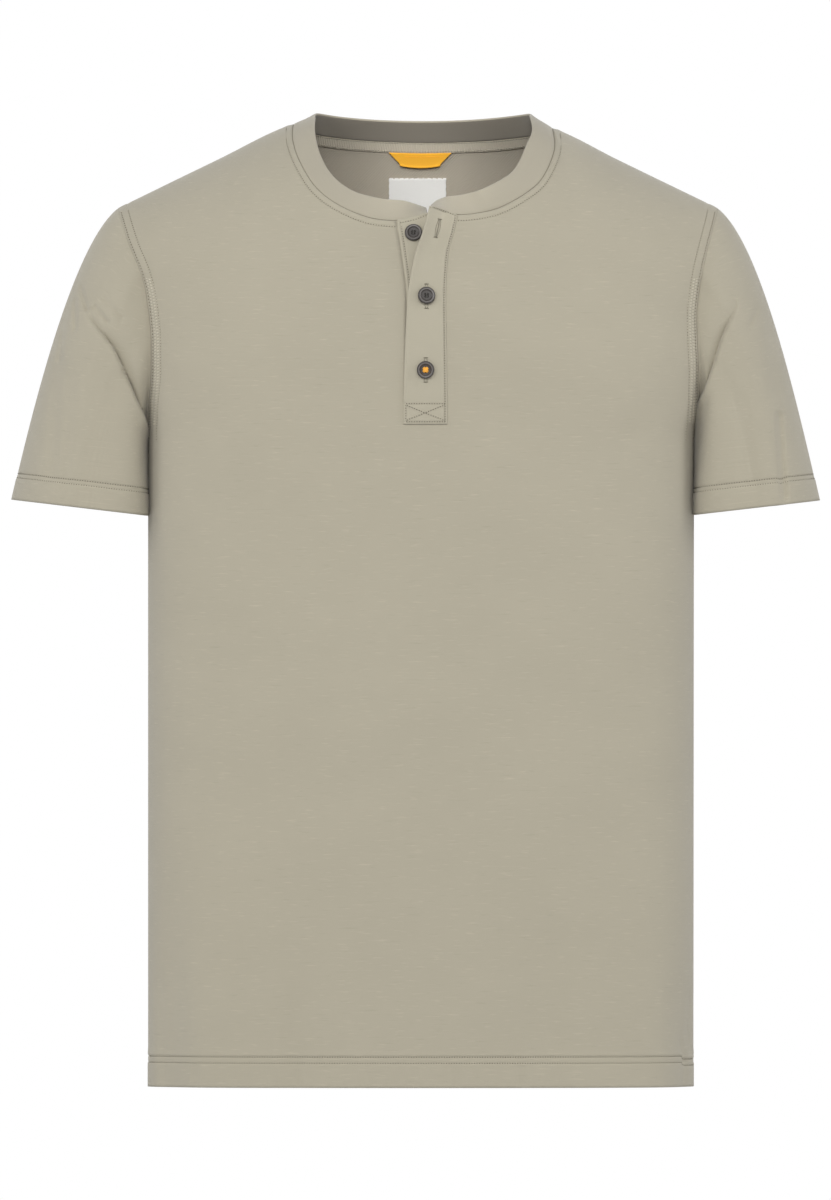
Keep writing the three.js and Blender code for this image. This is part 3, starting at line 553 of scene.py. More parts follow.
# dark threads between stitches, painted shade of the needle holes
painted_hole_shade = plain_material("needle hole painted shade", (0.17, 0.155, 0.12), 0.95, 0.05)
thread_edge = plain_material("edge thread", (0.20, 0.185, 0.14), 0.8)
# a dark thread in the neck seam's ditch, painted shade
seam_painted_shade = plain_material("neck seam painted shade", (0.26, 0.24, 0.187), 0.95, 0.05)
thread_dark = plain_material("dark thread", (0.10, 0.095, 0.085), 0.7)
thread_orange = plain_material("orange thread", (0.95, 0.45, 0.06), 0.6)
button_matt = plain_material("button", (0.050, 0.043, 0.039), 0.42, 0.45)
# the button's colour made lighter, a painted highlight on the inner half of its rim
button_rim_highlight = plain_material("button rim painted highlight", (0.13, 0.118, 0.11), 0.4, 0.45)

# Front and back

EDGE_CELLS, SHOULDER_CELLS, NECK_CELLS, SLOT_CELLS = 14, 30, 60, 14
EDGE_STRIP = 12
NEAR_NECK = 9
BACK_MIDDLE = 1.5
RIDGE_SINK = 0.3
lower_levels = steps(HEM, (-705.4, 8), (-696, 19), (FOOT, 104))


def column_heights(top):
    """Heights up a column, closest together at its top, where the neck and shoulder seams lie."""
    near = NEAR_NECK * np.linspace(0, 1, 19) ** 2
    far = NEAR_NECK + (top - FOOT - NEAR_NECK) * (np.linspace(0, 1, 46)[1:]) ** 1.3
    return np.concatenate([lower_levels, top - np.concatenate([near, far])[::-1][1:]])


def half_top(side, neck):
    shoulder = edge_x(side, EDGE[0, -1])
    whole = abs(neck[0][0] - shoulder)
    x = shoulder - side * steps(0, (EDGE_STRIP, EDGE_CELLS), (whole, SHOULDER_CELLS))[:-1]
    return np.vstack([join(x, read(RIDGE, 1, x)), neck])


def arc_shares(cells):
    """The lower body's columns: close together at the side seam, then even round its section."""
    turn = np.linspace(0, math.pi / 2, 4000)
    section = join(205 * np.cos(turn) ** (2 / 3), 108 * np.sin(turn) ** (2 / 3))
    run = lengths(section)
    places = steps(0, (EDGE_STRIP, EDGE_CELLS), (run[-1], cells - EDGE_CELLS))
    return 1 - np.interp(places, run, section[:, 0]) / 205


def half_columns(side, top, meets):
    low = arc_shares(len(top) - 1)
    low = low / low[-1]
    columns = []
    for share_low, (end_x, end_z) in zip(low, top):
        high = (end_x - edge_x(side, end_z)) / (meets(end_z) - edge_x(side, end_z))
        z = column_heights(end_z)
        share = mix(share_low, high, np.clip((z - FOOT) / (end_z - FOOT), 0, 1))
        columns.append(join(mix(edge_x(side, z), meets(z), share), z))
    return columns


def slot_right(z):
    return read(SLOT, 1, z)


def slot_left(z):
    return read(SLOT, 2, z)


def back_middle(z):
    return np.full_like(z, BACK_MIDDLE)


def panel(side, columns, name, keep=None):
    plan = np.stack(columns, 1)
    x, z = plan[..., 0], plan[..., 1]
    grid = join(x, side * stand_off(side, x, z), z)
    grid[:, [0, -1], 1] = np.where(z[:, [0, -1]] < UNDERARM, 0, grid[:, [0, -1], 1])
    normals = facings(grid)
    row = z < UNDERARM
    for column in (0, -1):
        normals[row[:, column], column] = (np.sign(x[0, column]), 0, 0)
    top = grid[-1]
    on_ridge = np.abs(top[:, 1]) < 0.5
    slope = (read(RIDGE, 1, top[:, 0] + 2) - read(RIDGE, 1, top[:, 0] - 2)) / 4
    normals[-1][on_ridge] = unit(join(-slope, 0 * slope, np.ones_like(slope)))[on_ridge]
    high = relief(side, x, z)
    high[-1][on_ridge] = -RIDGE_SINK
    moved = grid + normals * high[..., None]
    uv = grid_uv(grid, middle=grid.shape[1] // 2)
    uv[..., 1] = z
    return shell(name, moved, normals, CLOTH, uv, jersey, inner, keep=keep)


right_top = half_top(-1, spaced(-1, NECK_RIGHT, NECK_CELLS))
left_top = half_top(1, spaced(-1, NECK_LEFT, NECK_CELLS))
front_right = half_columns(-1, right_top, slot_right)
front_left = half_columns(1, left_top, slot_left)[::-1]
slot_columns = []
for k in range(1, SLOT_CELLS):
    share = k / SLOT_CELLS
    z = column_heights(mix(NECK_RIGHT[-1][1], NECK_LEFT[-1][1], share))
    slot_columns.append(join(mix(slot_right(z), slot_left(z), share), z))
slot_start, slot_row = len(front_right) - 1, len(lower_levels) - 1
front = panel(
    -1, [*front_right, *slot_columns, *front_left], "front",
    lambda i, j: (i < slot_row) | (j < slot_start) | (j >= slot_start + SLOT_CELLS),
)

back_neck = spaced(1, NECK_BACK, 2 * NECK_CELLS)
shoulder_count = EDGE_CELLS + SHOULDER_CELLS
left_half = np.vstack([left_top[:shoulder_count], back_neck[: NECK_CELLS + 1]])
right_half = np.vstack([right_top[:shoulder_count], back_neck[NECK_CELLS:][::-1]])
back_right = half_columns(-1, right_half, back_middle)[::-1]
back = panel(1, [*half_columns(1, left_half, back_middle), *back_right[1:]], "back")

# Sleeves

SLEEVE_ROWS = 96
# columns round a sleeve: degrees from the shoulder point down the front, and how many up to there
RING_TURNS = [(0, 0), (15, 12), (70, 66), (168, 222), (360, 300)]
RING = RING_TURNS[-1][1]
CUFF_BAND = 26
CUFF_STITCHES = (20.3, 16.9)


def armhole(side):
    """The armhole from the shoulder point down the front, under the arm and up the back."""
    z = np.linspace(EDGE[0, -1], UNDERARM, 400)
    x = edge_x(side, z)
    forward = join(x, -stand_off(-1, x, z), z)
    behind = join(x, stand_off(1, x, z), z)[::-1]
    forward[[0, -1], 1] = 0
    return np.vstack([forward, behind[1:]])


def cuff_point(side, turn):
    """Points round a sleeve's open end, which is flatter towards the body."""
    outer, inner_x, outer_z, inner_z = SLEEVES[side]
    across, deep = np.cos(turn), np.sin(turn)
    flat = np.where(across < 0, -(np.abs(across) ** 0.3), across)
    deep = np.where(across < 0, np.sign(deep) * np.abs(deep) ** 0.36, deep)
    share = (1 - flat) / 2
    return join(side * mix(outer, inner_x, share), -CUFF_DEPTH * deep, mix(outer_z, inner_z, share))


# x and z of both ends of each small crease on the sleeve, its width and depth
SLEEVE_CREASES = {
    -1: [
        (255, -123, 250.5, -139.5, 1.5, 1.0), (259.5, -133, 259, -154.5, 1.6, 0.9),
        (267, -140, 271, -177, 2.2, 0.9), (244.5, -138, 235, -149, 1.5, 0.9),
        (237, -132, 224, -146, 2.0, 0.5), (272, -180, 276, -262, 6, 0.9), (262, -190, 266, -270, 5, 0.5),
    ],
    1: [
        (268.3, -219, 271.8, -280, 3.0, 1.15), (262, -150, 266, -200, 5, 0.6),
        (252, -140, 246, -152, 1.6, 0.6), (240, -210, 248, -268, 7, 0.5),
    ],
}


def sleeve_relief(side, x, y, z, from_seam):
    """The sleeve's folds, as a move of its front and back towards each other, and the main fold's lip."""
    rows = SLEEVE_FOLDS[side]
    away = read(rows, 1, z) - np.abs(x)
    front_side = y < 0
    steep = np.where(front_side, 1.2, 6)
    wide = np.where(front_side, 9, 12)
    shape = np.where(away > 0, np.exp(-np.maximum(away, 0) / wide), bell(away, steep))
    fade = smooth(rows[0, -1] + 12, rows[0, -1] - 6, z) * smooth(-268, -236, z)
    depth = read(rows, 2, z) * fade
    lip = np.where(front_side, 0.24 * depth * bell(away + 1.4, 2.0), 0)
    move = depth * shape * np.where(front_side, 1, 0.8) * smooth(0, 5, from_seam)
    for x0, z0, x1, z1, width, depth in SLEEVE_CREASES[side]:
        ends = np.array([(x0, z0), (x1, z1)], float)
        near = distance_to(ends, np.abs(x) + np.where(front_side, 0, 3), z)
        move = move + np.where(front_side, 3, 1.3) * depth * bell(near, width * np.where(front_side, 1, 1.9))
    return move, lip


def sleeve(side, name):
    ring = armhole(side)
    run = lengths(ring)
    degrees, counts = np.array(RING_TURNS, float).T
    turn = np.radians(np.interp(np.arange(RING), counts, degrees))
    start = at_lengths(ring, run[-1] * turn / (2 * math.pi))
    end = cuff_point(side, turn)
    height = np.clip((start[:, 2] - UNDERARM) / (EDGE[0, -1] - UNDERARM), 0, 1)
    out = height**0.6
    leave = unit(join(side * mix(0.02, 0.8, out), -np.sin(turn) * 0.3, mix(-1, -0.62, out)))
    arrive = unit(join(side * mix(0.01, 0.23, (1 + np.cos(turn)) / 2), 0 * turn, -np.ones(RING)))
    span = np.linalg.norm(end - start, axis=1)[:, None]
    p1 = start + leave * span * mix(0.3, 0.17, out)[:, None]
    p2 = end - arrive * span * 0.38
    t = np.linspace(0, 1, 160)[:, None]
    weights = (1 - t) ** 3, 3 * (1 - t) ** 2 * t, 3 * (1 - t) * t**2, t**3
    cuff = steps(0, (15.6, 8), (21.6, 12), (CUFF_BAND, 3))[:-1]
    columns = []
    for k in range(RING):
        way = sum(weight * ends[k] for weight, ends in zip(weights, (start, p1, p2, end)))
        whole = lengths(way)[-1]
        rest = CUFF_BAND + (whole - CUFF_BAND) * np.linspace(0, 1, SLEEVE_ROWS)
        columns.append(at_lengths(way, whole - np.concatenate([cuff, rest])[::-1]))
    grid = np.stack(columns, 1)
    x, y, z = grid[..., 0], grid[..., 1], grid[..., 2]
    along = np.linspace(0, 1, len(grid))[:, None]
    faces = np.clip(np.abs(y) / 30, 0, 1)
    from_seam = up_columns(grid)
    move, lip = sleeve_relief(side, x, y, z, from_seam)
    grid[..., 1] = y - np.sign(y) * move * faces
    touch = 1.1 * bell((turn - math.pi) / 0.35, 1) * smooth(0, 0.25, along)
    grid[..., 0] = x - side * (lip * faces + touch)
    grid[..., 2] = z + 0.5 * lip * faces
    plain = grid.copy()
    normals = facings(grid, closed=True) * (1 if side > 0 else -1)
    run_up = up_columns(grid)
    from_end = run_up[-1] - run_up
    high = 0.35 * smooth(CUFF_STITCHES[1] + 1.2, CUFF_STITCHES[1] - 0.6, from_end)
    for row in CUFF_STITCHES:
        high = high - 0.42 * bell(from_end - row, 0.75)
    grid = grid + normals * (high - 0.15 * bell(from_seam, 0.8))[..., None]
    uv = join(np.broadcast_to(run[-1] * turn / (2 * math.pi), from_end.shape), -from_end).copy()
    tuck = grid[:1] - normals[:1] * 1.2
    tuck[..., 0] -= side * 3
    full = [np.concatenate([tuck, grid]), np.concatenate([normals[:1], normals])]
    full.append(np.concatenate([uv[:1] - (0, 3), uv]))
    if side < 0:
        full = [part[:, ::-1] for part in full]
    made = shell(name, full[0], full[1], CLOTH, full[2], jersey, inner, closed=True)
    return made, (plain, normals, from_end)


sleeve_right, right_cuff = sleeve(-1, "sleeve_right")
sleeve_left, left_cuff = sleeve(1, "sleeve_left")

# Placket strips

RISE = 1.6
UPPER_WIDTH = 33.0
UPPER_COLUMNS = 84
# heights over the box end's foot of the rows across it
BOX_ROWS = (15.6, 2.1)
# both ends of the open buttonhole, x and z
HOLE = np.array([(14.0, -73.6), (11.2, -86.4)])


def strip_grid(heights, columns, point):
    share, across = np.meshgrid(heights, np.linspace(0, 1, columns), indexing="ij")
    return point(across, share)


def strip_shell(name, grid, keep=None):
    return shell(name, grid, facings(grid), CLOTH, grid_uv(grid), strip_cloth, inner, keep=keep)


def under_surface(across, share):
    """The under strip's face, which dips under the front at its edges."""
    top_x = mix(slot_right(-70) + 0.6, slot_left(-70) - 1.2, across)
    z = mix(FOOT - 3, read(UNDER_TOP, 1, top_x), share)
    x = mix(slot_right(z) - 1.8, slot_left(z) + 1.2, across)
    sewn, other = x - slot_right(z), slot_left(z) - x
    dip = 0.7 * smooth(0.5, 0, sewn) + 1.3 * smooth(1.0, 0.1, other)
    dip += 0.4 * bell(sewn - 2.6, 0.7) - 0.35 * bell(sewn - 1.2, 0.6)
    dip += 0.4 * bell((1 - share) * 150 - 2.2, 0.7)
    return on_body(-1, x, z, -dip + 0.1)[0]


def upper_place(across, share):
    z = mix(BOX_FOOT, mix(*UPPER_TOP, across), share)
    return mix(read(UPPER, 1, z), read(UPPER, 2, z), across), z


def upper_share(across, z):
    """How far up the upper strip a height is, which upper_place turns back into z."""
    return (z - BOX_FOOT) / (mix(*UPPER_TOP, across) - BOX_FOOT)


def upper_surface(across, share, lift=0.0):
    """The upper strip's face, with its soft edges, sunk rows and the part turned out at the top."""
    x, z = upper_place(across, share)
    free, sewn, over = across * UPPER_WIDTH, (1 - across) * UPPER_WIDTH, z - BOX_FOOT
    puff = 0.35 * (1 - bell(free, 1.4)) - 0.45 * bell(sewn - 1.9, 0.7) + 0.25 * bell(sewn - 0.9, 0.5)
    puff = puff - 0.7 * bell(sewn, 0.45) - 0.3 * bell(free, 1.0)
    puff = puff - 0.6 * bell(over, 0.5) + 0.5 * bell(over - 1.2, 0.6)
    for row in BOX_ROWS:
        puff = puff - 0.4 * bell(over - row, 0.8)
    held = np.maximum(smooth(3.4, 0.9, sewn), smooth(3.2, 0.9, over))
    puff = puff - np.maximum(held, smooth(3.2, 0.9, free) * smooth(20, 14, over))
    puff = puff * mix(0.8, 1, smooth(16, 22, over))
    bulge = 0.6 * bell(z + 158, 26) * bell((across - 0.3) * UPPER_WIDTH, 8)
    point = on_body(-1, x, z, RISE + puff + bulge + lift)[0]
    point[..., 1] -= read(UPPER, 3, z) * np.clip((0.6 - across) / 0.6, 0, 1) ** 1.6
    return point


def on_upper(across, share, lift=0.0):
    """A point of the upper strip's face and the direction out of the front there."""
    return upper_surface(across, share, lift), on_body(-1, *upper_place(across, share))[1]


under = strip_shell("placket_under", strip_grid(np.linspace(0, 1, 130), 50, under_surface))
# rows close together at the box end and round the open buttonhole
upper_heights = steps(0, (0.13, 36), (0.8, 70), (1, 83))
open_cell = distance_to(HOLE, *strip_grid(upper_heights, UPPER_COLUMNS, upper_place)) < 0.4
upper_grid = strip_grid(upper_heights, UPPER_COLUMNS, upper_surface)
upper = strip_shell("placket_upper", upper_grid, lambda i, j: ~open_cell[i, j])

# Neckband


def band_line():
    """The neck seam from the under strip round: points, directions out, and 0 in front or 1 behind."""
    x = np.linspace(4.6, -18, 24)
    across = np.linspace(1, 0, 30)[1:]
    parts = [
        (on_body(-1, x, read(UNDER_TOP, 1, x)), 0),
        (on_body(-1, *right_top[shoulder_count:][::-1][1:].T), 0),
        (on_body(1, *back_neck[::-1][1:-1].T), 1),
        (on_body(-1, *left_top[shoulder_count:].T), 0),
        (on_upper(across, np.ones_like(across)), 0),
    ]
    points, outs = (np.vstack([part[k] for part, _ in parts]) for k in range(2))
    return points, outs, np.concatenate([np.full(len(part[0]), side) for part, side in parts])


def soften(line):
    """A line with its small steps evened out, and its ends kept."""
    reach = 6
    ahead = 2 * line[:1] - line[1 : reach + 1][::-1]
    after = 2 * line[-1:] - line[-reach - 1 : -1][::-1]
    weights = np.hanning(2 * reach + 3)[1:-1]
    padded = np.vstack([ahead, line, after])
    return np.stack([np.convolve(padded[:, k], weights / weights.sum(), "valid") for k in range(3)], -1)


def neckband():
    seam, outs, sides = band_line()
    run = lengths(seam)
    places, shifts = [], []
    for side, x, z, top_x, top_z in BAND_PAIRS:
        gap = np.hypot(seam[:, 0] - x, seam[:, 2] - z) + np.where(sides == side, 0, 1e3)
        places.append(run[np.argmin(gap)])
        shifts.append((top_x - x, top_z - z))
    order = np.argsort(places)
    table = np.array([np.array(places)[order], *np.array(shifts)[order].T])
    s = np.linspace(0, run[-1], 520)
    base = at_lengths(seam, s)
    out = unit(at_lengths(outs, s, by=seam))
    dx, dz = read(table, 1, s), read(table, 2, s)
    inward = np.clip(-base[:, 1] / 12, -1, 1)
    dy = inward * np.sqrt(np.maximum(BAND_WIDTH**2 - dx**2 - dz**2, 4))
    lean = join(dx, dy, dz)
    base, lean = soften(base), soften(lean)
    tangent = unit(np.gradient(base, axis=0))
    face = unit(np.cross(tangent, lean))
    face *= np.sign((face * out).sum(1, keepdims=True))
    return base, lean, unit(soften(face)), s


band_base, band_lean, band_face, band_run = neckband()
# across the band from its seam, over the folded edge and down the inside: share of the width, depth
BAND_SECTION = np.array([
    (-0.05, 1.0), (0.0, 0.75), (0.03, 0.35), (0.08, 0.04), (0.16, -0.08), (0.3, -0.14), (0.45, -0.16),
    (0.6, -0.14), (0.75, -0.1), (0.88, 0.0), (0.95, 0.14), (0.985, 0.45), (1.0, 0.95), (0.985, 1.45),
    (0.95, 1.8), (0.88, 1.95), (0.7, 2.0), (0.5, 2.0), (0.3, 2.0), (0.12, 2.0), (0.0, 2.0), (-0.05, 1.8),
])
BAND_INSIDE = 14


def neckband_mesh():
    share, depth = BAND_SECTION.T[:, :, None, None]
    grid = band_base[None] + band_lean[None] * share - band_face[None] * depth
    rows, columns = grid.shape[:2]
    j = np.arange(columns - 1)
    faces, index = [], []
    for i in range(rows):
        here, there = i * columns + j, (i + 1) % rows * columns + j
        faces.append(join(here, there, there + 1, here + 1))
        index.append(np.full(columns - 1, int(i >= BAND_INSIDE)))
    caps = []
    for j, turn in ((0, 1), (columns - 1, -1)):
        for i in range(1, rows // 2):
            caps.append([row * columns + j for row in (i, i - 1, rows - i, rows - 1 - i)][::turn])
    faces = np.vstack([*faces, caps])
    index = np.concatenate([*index, np.zeros(len(caps), int)])
    across = lengths(grid[:, columns // 2])
    uv = np.stack(np.broadcast_arrays(band_run[None, :], across[:, None]), -1).reshape(-1, 2)
    points = grid.reshape(-1, 3)
    return make("neckband", points, faces, uv, [band_cloth, band_inside_painted_shade], index, "neckband")


band = neckband_mesh()

# Tape, loop and label inside the back

INSIDE = CLOTH + 0.1
BACK_TABLE = np.array(NECK_BACK[::-1], float).T
BACK_TABLE = BACK_TABLE[:, np.argsort(BACK_TABLE[0])]


def back_seam_z(x):
    return read(BACK_TABLE, 1, x)


def inside_shell(name, x, z, off, thickness, material):
    """A sheet that lies on the back's inside and stands off it by a given amount."""
    grid = on_body(1, x, z, -(INSIDE + thickness + off))[0]
    normals = facings(grid)
    normals *= -np.sign(normals[..., 1].mean())
    return shell(name, grid, normals, thickness, grid_uv(grid), material, material)


TAPE_WIDTH = 7.8
TAPE_CLOTH = 0.7
tape_x = np.linspace(-86, 88, 220)[None]
tape_down = np.array([8.6, 8.1, 7.0, 5.6, 3.9, 2.2, 1.0, 0.2, -0.2])[:, None]
tape_off = 0.12 * np.sin(tape_x * 3.3) + 0.2 * bell(tape_down - 4, 2.5)
tape_z = back_seam_z(tape_x) - tape_down
tape = inside_shell("neck_tape", tape_x, tape_z, tape_off, TAPE_CLOTH, tape_cloth)

# the ribbon's width at the tape and at its foot, its height and how far its foot bows down
LOOP_TOP, LOOP_FOOT, LOOP_HEIGHT, LOOP_BOW = 47, 30.5, 8.6, 1.5
LOOP_MIDDLE = -0.6
LOOP_CLOTH = 0.9
across, down = np.meshgrid(np.linspace(-0.5, 0.5, 61), np.linspace(1, 0, 17))
x = LOOP_MIDDLE + across * mix(LOOP_TOP, LOOP_FOOT, np.minimum(down / 0.86, 1))
z = back_seam_z(x) - TAPE_WIDTH - 0.3 - LOOP_HEIGHT * down - LOOP_BOW * (1 - (2 * across) ** 2) * down
off = 0.9 + 1.5 * down + 0.5 * bell(down - 0.95, 0.08)
loop = inside_shell("hanging_loop", x, z, off, LOOP_CLOTH, orange_cloth)

LABEL_WIDTH, LABEL_HEIGHT, LABEL_X, LABEL_TOP = 43, 46, -2.6, -39.2
across, down = np.meshgrid(np.linspace(-0.5, 0.5, 71), np.linspace(1, 0, 30))
ragged = 0.35 * np.sin(across * 141) + 0.3 * np.sin(across * 67 + 1)
side_wave = 0.25 * np.sin(down * 60) * np.sign(across) * (np.abs(across) > 0.49)
x = LABEL_X + across * LABEL_WIDTH + side_wave
z = LABEL_TOP - LABEL_HEIGHT * down + ragged * smooth(0.06, 0, down)
label = inside_shell("neck_label", x, z, 0.25 + 0.5 * bell(across, 0.4) * down, 0.6, label_cloth)

# Stitching

light_rows, plain_rows, hole_shade_rows = [], [], []


def sew(line, outs, pitch=2.0, length=1.4):
    line = line + outs * 0.14
    plain_rows.append(run_stitches(line, outs, pitch, length))
    hole_shade_rows.append(needle_hole_shade(line, outs, pitch, length))


# hem: two rows all round
for side in (-1, 1):
    x = np.linspace(-203.5, 203.5, 900)
    for row in HEM_STITCHES:
        sew(*body_line(side, x, row + hem_shift(side, x)), pitch=1.9, length=1.35)

# neck: one row outside the seam, front and back
for side, line in ((-1, neck_front[0]), (-1, neck_front[1]), (1, neck_back)):
    fine = spline(line[::10], 30)
    tangent = unit(np.gradient(fine, axis=0))
    normal = join(-tangent[:, 1], tangent[:, 0])
    if side < 0:
        normal *= np.sign((normal * (fine - (1.5, -20))).sum(1, keepdims=True))
    else:
        normal *= np.where(normal[:, 1:] > 0, -1, 1)
    moved = fine + normal * NECK_STITCH
    moved = moved[moved[:, 1] < read(RIDGE, 1, moved[:, 0]) - 1.0]
    if side < 0:
        moved = moved[(moved[:, 0] <= slot_right(-72)) | (moved[:, 0] >= slot_left(-72) + 2)]
    sew(*body_line(side, *moved.T), pitch=2.0, length=1.45)

# armholes: a row inside the seam, and the fine zigzag that shows lower down
for side in (-1, 1):
    for face in (-1, 1):
        z = np.linspace(-64.5, -238, 260)
        sew(*body_line(face, edge_x(side, z) - side * ARM_STITCH, z), pitch=2.1, length=1.5)
        z = np.linspace(-66, -236, 260)
        sew(*body_line(face, edge_x(side, z) - side * 1.4, z), pitch=2.4, length=1.2)
        z = np.linspace(-116, -228, 180)
        line, outs = body_line(face, edge_x(side, z) - side * 2.2, z)
        far, _ = body_line(face, edge_x(side, z) - side * (ARM_STITCH - 0.9), z)
        s = np.arange(0, lengths(line)[-1] - 4, 2.3)
        a, m = at_lengths(line, s), at_lengths(far, s * lengths(far)[-1] / lengths(line)[-1] + 1.1)
        b = at_lengths(line, s + 2.2)
        out = unit(at_lengths(outs, s, by=line))
        half_a, half_b = mix(a, m, 0.5), mix(m, b, 0.5)
        for p, q in ((a, half_a), (half_a, m), (m, half_b), (half_b, b)):
            light_rows.append((mix(p, q, 0.12) + out * 0.15, mix(p, q, 0.88) + out * 0.15, out))


def at_cuff(values, from_end, row):
    """A sleeve's points or directions at one length from its end, all round and back to the first."""
    ring = [[np.interp(row, from_end[::-1, k], values[::-1, k, c]) for c in range(3)] for k in range(RING)]
    return np.array([*ring, ring[0]])


# cuffs: two rows round each
for grid, out, from_end in (right_cuff, left_cuff):
    for row in CUFF_STITCHES:
        outs = unit(at_cuff(out, from_end, row))
        sew(at_cuff(grid, from_end, row) - outs * 0.3, outs, pitch=1.9, length=1.35)


def strip_row(points):
    """A row on the upper strip through pairs of place across it and height over its foot."""
    p = np.array(points, float)
    run = lengths(p * (UPPER_WIDTH, 1))
    s = np.linspace(0, run[-1], max(12, int(run[-1])))
    across, over = (np.interp(s, run, column) for column in p.T)
    return on_upper(across, upper_share(across, BOX_FOOT + over), 0.05)


# upper strip: beside its sewn edge, the box, its cross, and along the top
for row in (
    [(0.951, 2.5), (0.951, 154)],
    [(0.03, BOX_ROWS[0]), (0.965, BOX_ROWS[0])],
    [(0.035, BOX_ROWS[1]), (0.965, BOX_ROWS[1])],
    [(0.05, 14.6), (0.94, 3)],
    [(0.05, 3), (0.94, 14.6)],
    [(0.055, 3), (0.055, 14.6)],
    [(0.05, 161.9), (0.96, 155.7)],
):
    sew(*strip_row(row), pitch=1.9, length=1.25)

# under strip: beside its sewn edge, and along its top
z = np.linspace(-205, -78, 160)
x = slot_right(z) + 2.6
sew(*on_body(-1, x, z, -0.2))
x = np.linspace(-17, 4, 30)
sew(*on_body(-1, x, read(UNDER_TOP, 1, x) - 2.2, -0.3))

# tape: a row at each edge
for down in (TAPE_WIDTH - 0.6, 1.0):
    x = np.linspace(-84, 86, 400)
    point, out = on_body(1, x, back_seam_z(x) - down, -(INSIDE + TAPE_CLOTH + 0.05))
    sew(point, -out, pitch=2.2, length=1.3)


def gather(rows):
    """Rows of starts, ends and directions as one array of each."""
    return [np.vstack([row[k] for row in rows]) for k in range(3)]


stitching = tubes("stitching", *gather(plain_rows), 0.26, thread, "jersey")
# dark threads in the gaps between stitches: painted shade of the needle holes
holes = tubes("needle_hole_shade", *gather(hole_shade_rows), 0.34, painted_hole_shade, "jersey", sink=0.1)
zigzag = tubes("coverstitching", *gather(light_rows), 0.25, thread_light, "jersey")

# neck seam: a dark thread along the ditch between the band and the body, painted shade of that ditch
ditch = (band_base - band_face * 0.45)[::2]
ditch_end = mix(ditch[:-1], ditch[1:], 1.15)
ditch_out = band_face[1::2][: len(ditch_end)]
seam = tubes("neck_seam_painted_shade", ditch[:-1], ditch_end, ditch_out, 0.3, seam_painted_shade, "band", sink=0, bow=0)

# ribbon: a row of its own colour
across = np.linspace(-0.30, 0.46, 60)
x = LOOP_MIDDLE + across * 40
point, out = on_body(1, x, back_seam_z(x) - TAPE_WIDTH - 2.6, -(INSIDE + LOOP_CLOTH + 1.5))
ribbon_stitch = tubes("ribbon_stitching", *run_stitches(point, -out, 2.0, 1.4), 0.22, orange_cloth, "loop")

# Buttonholes

PURL = 0.45
purl_rows = []


def upper_at(x, z):
    """A point of the upper strip's face at x and z, and the direction out of the front there."""
    free, sewn = read(UPPER, 1, z), read(UPPER, 2, z)
    across = (x - free) / (sewn - free)
    return on_upper(across, upper_share(across, z))


def purl(start, way):
    """One purl stitch, from a point of the strip along a way, both in x and z."""
    p, out = upper_at(*start)
    q, _ = upper_at(*(start + way))
    purl_rows.append((p + out * 0.1, q + out * 0.1, out))


def purl_ring(first, last, half, pitch):
    """Purl stitches square to a buttonhole's edge, all the way round it."""
    whole = np.linalg.norm(last - first)
    run = (last - first) / whole
    square = np.array([-run[1], run[0]])
    for s in np.arange(0, whole + 0.01, pitch):
        away = half * (0.35 + 0.65 * math.sin(math.pi * s / whole))
        for flank in (-square, square):
            purl(first + run * s + flank * away, flank * PURL)
    for end, way in ((first, -run), (last, run)):
        for across in np.linspace(-1.3, 1.3, 5):
            purl(end + square * across, way * (PURL + 0.3))


# x, z, height over the front's cloth, and tilt
BUTTONS = [(-5.6, -83, 0.2, 0.0), (4.0, -130.4, RISE + 1.5, 0.16), (3.4, -185.2, RISE + 0.7, 0.0)]
purl_ring(*HOLE, 1.3, 0.8)
for x, z, _, _ in BUTTONS[1:]:
    purl_ring(np.array([x + 0.2, z + 8.6]), np.array([x + 0.2, z - 8.8]), 1.5, 0.9)
purls = tubes("buttonholes", *gather(purl_rows), 0.3, thread_edge, "strip", sink=0.2, bow=0.3)

# Buttons

# radius and height over a button's face, whose rim stands up, and round its edge and back
BUTTON_FACE = np.array([
    (0, 1.75), (3.7, 1.8), (4.1, 2.05), (4.45, 2.5), (4.75, 2.62),
    (5.3, 2.55), (5.9, 2.7), (6.3, 2.55), (6.5, 2.1), (6.55, 1.7),
]).T
BUTTON_BACK = np.array([(6.55, 1.1), (6.2, 0.45), (5.2, 0.05), (2.5, 0.0), (0.05, 0.0)]).T
RIM_RINGS = [3.9, 4.15, 4.35, 4.6, 4.9, 5.2, 5.5, 5.8, 6.1, 6.35, 6.5, 6.55]
# rings on the inner half of the rim, painted lighter as a highlight
HIGHLIGHT_RINGS = (26, 27, 28)
BUTTON_TURNS = 96
QUARTERS = math.pi / 4 + np.arange(4) * math.pi / 2
HOLE_REACH = 1.25


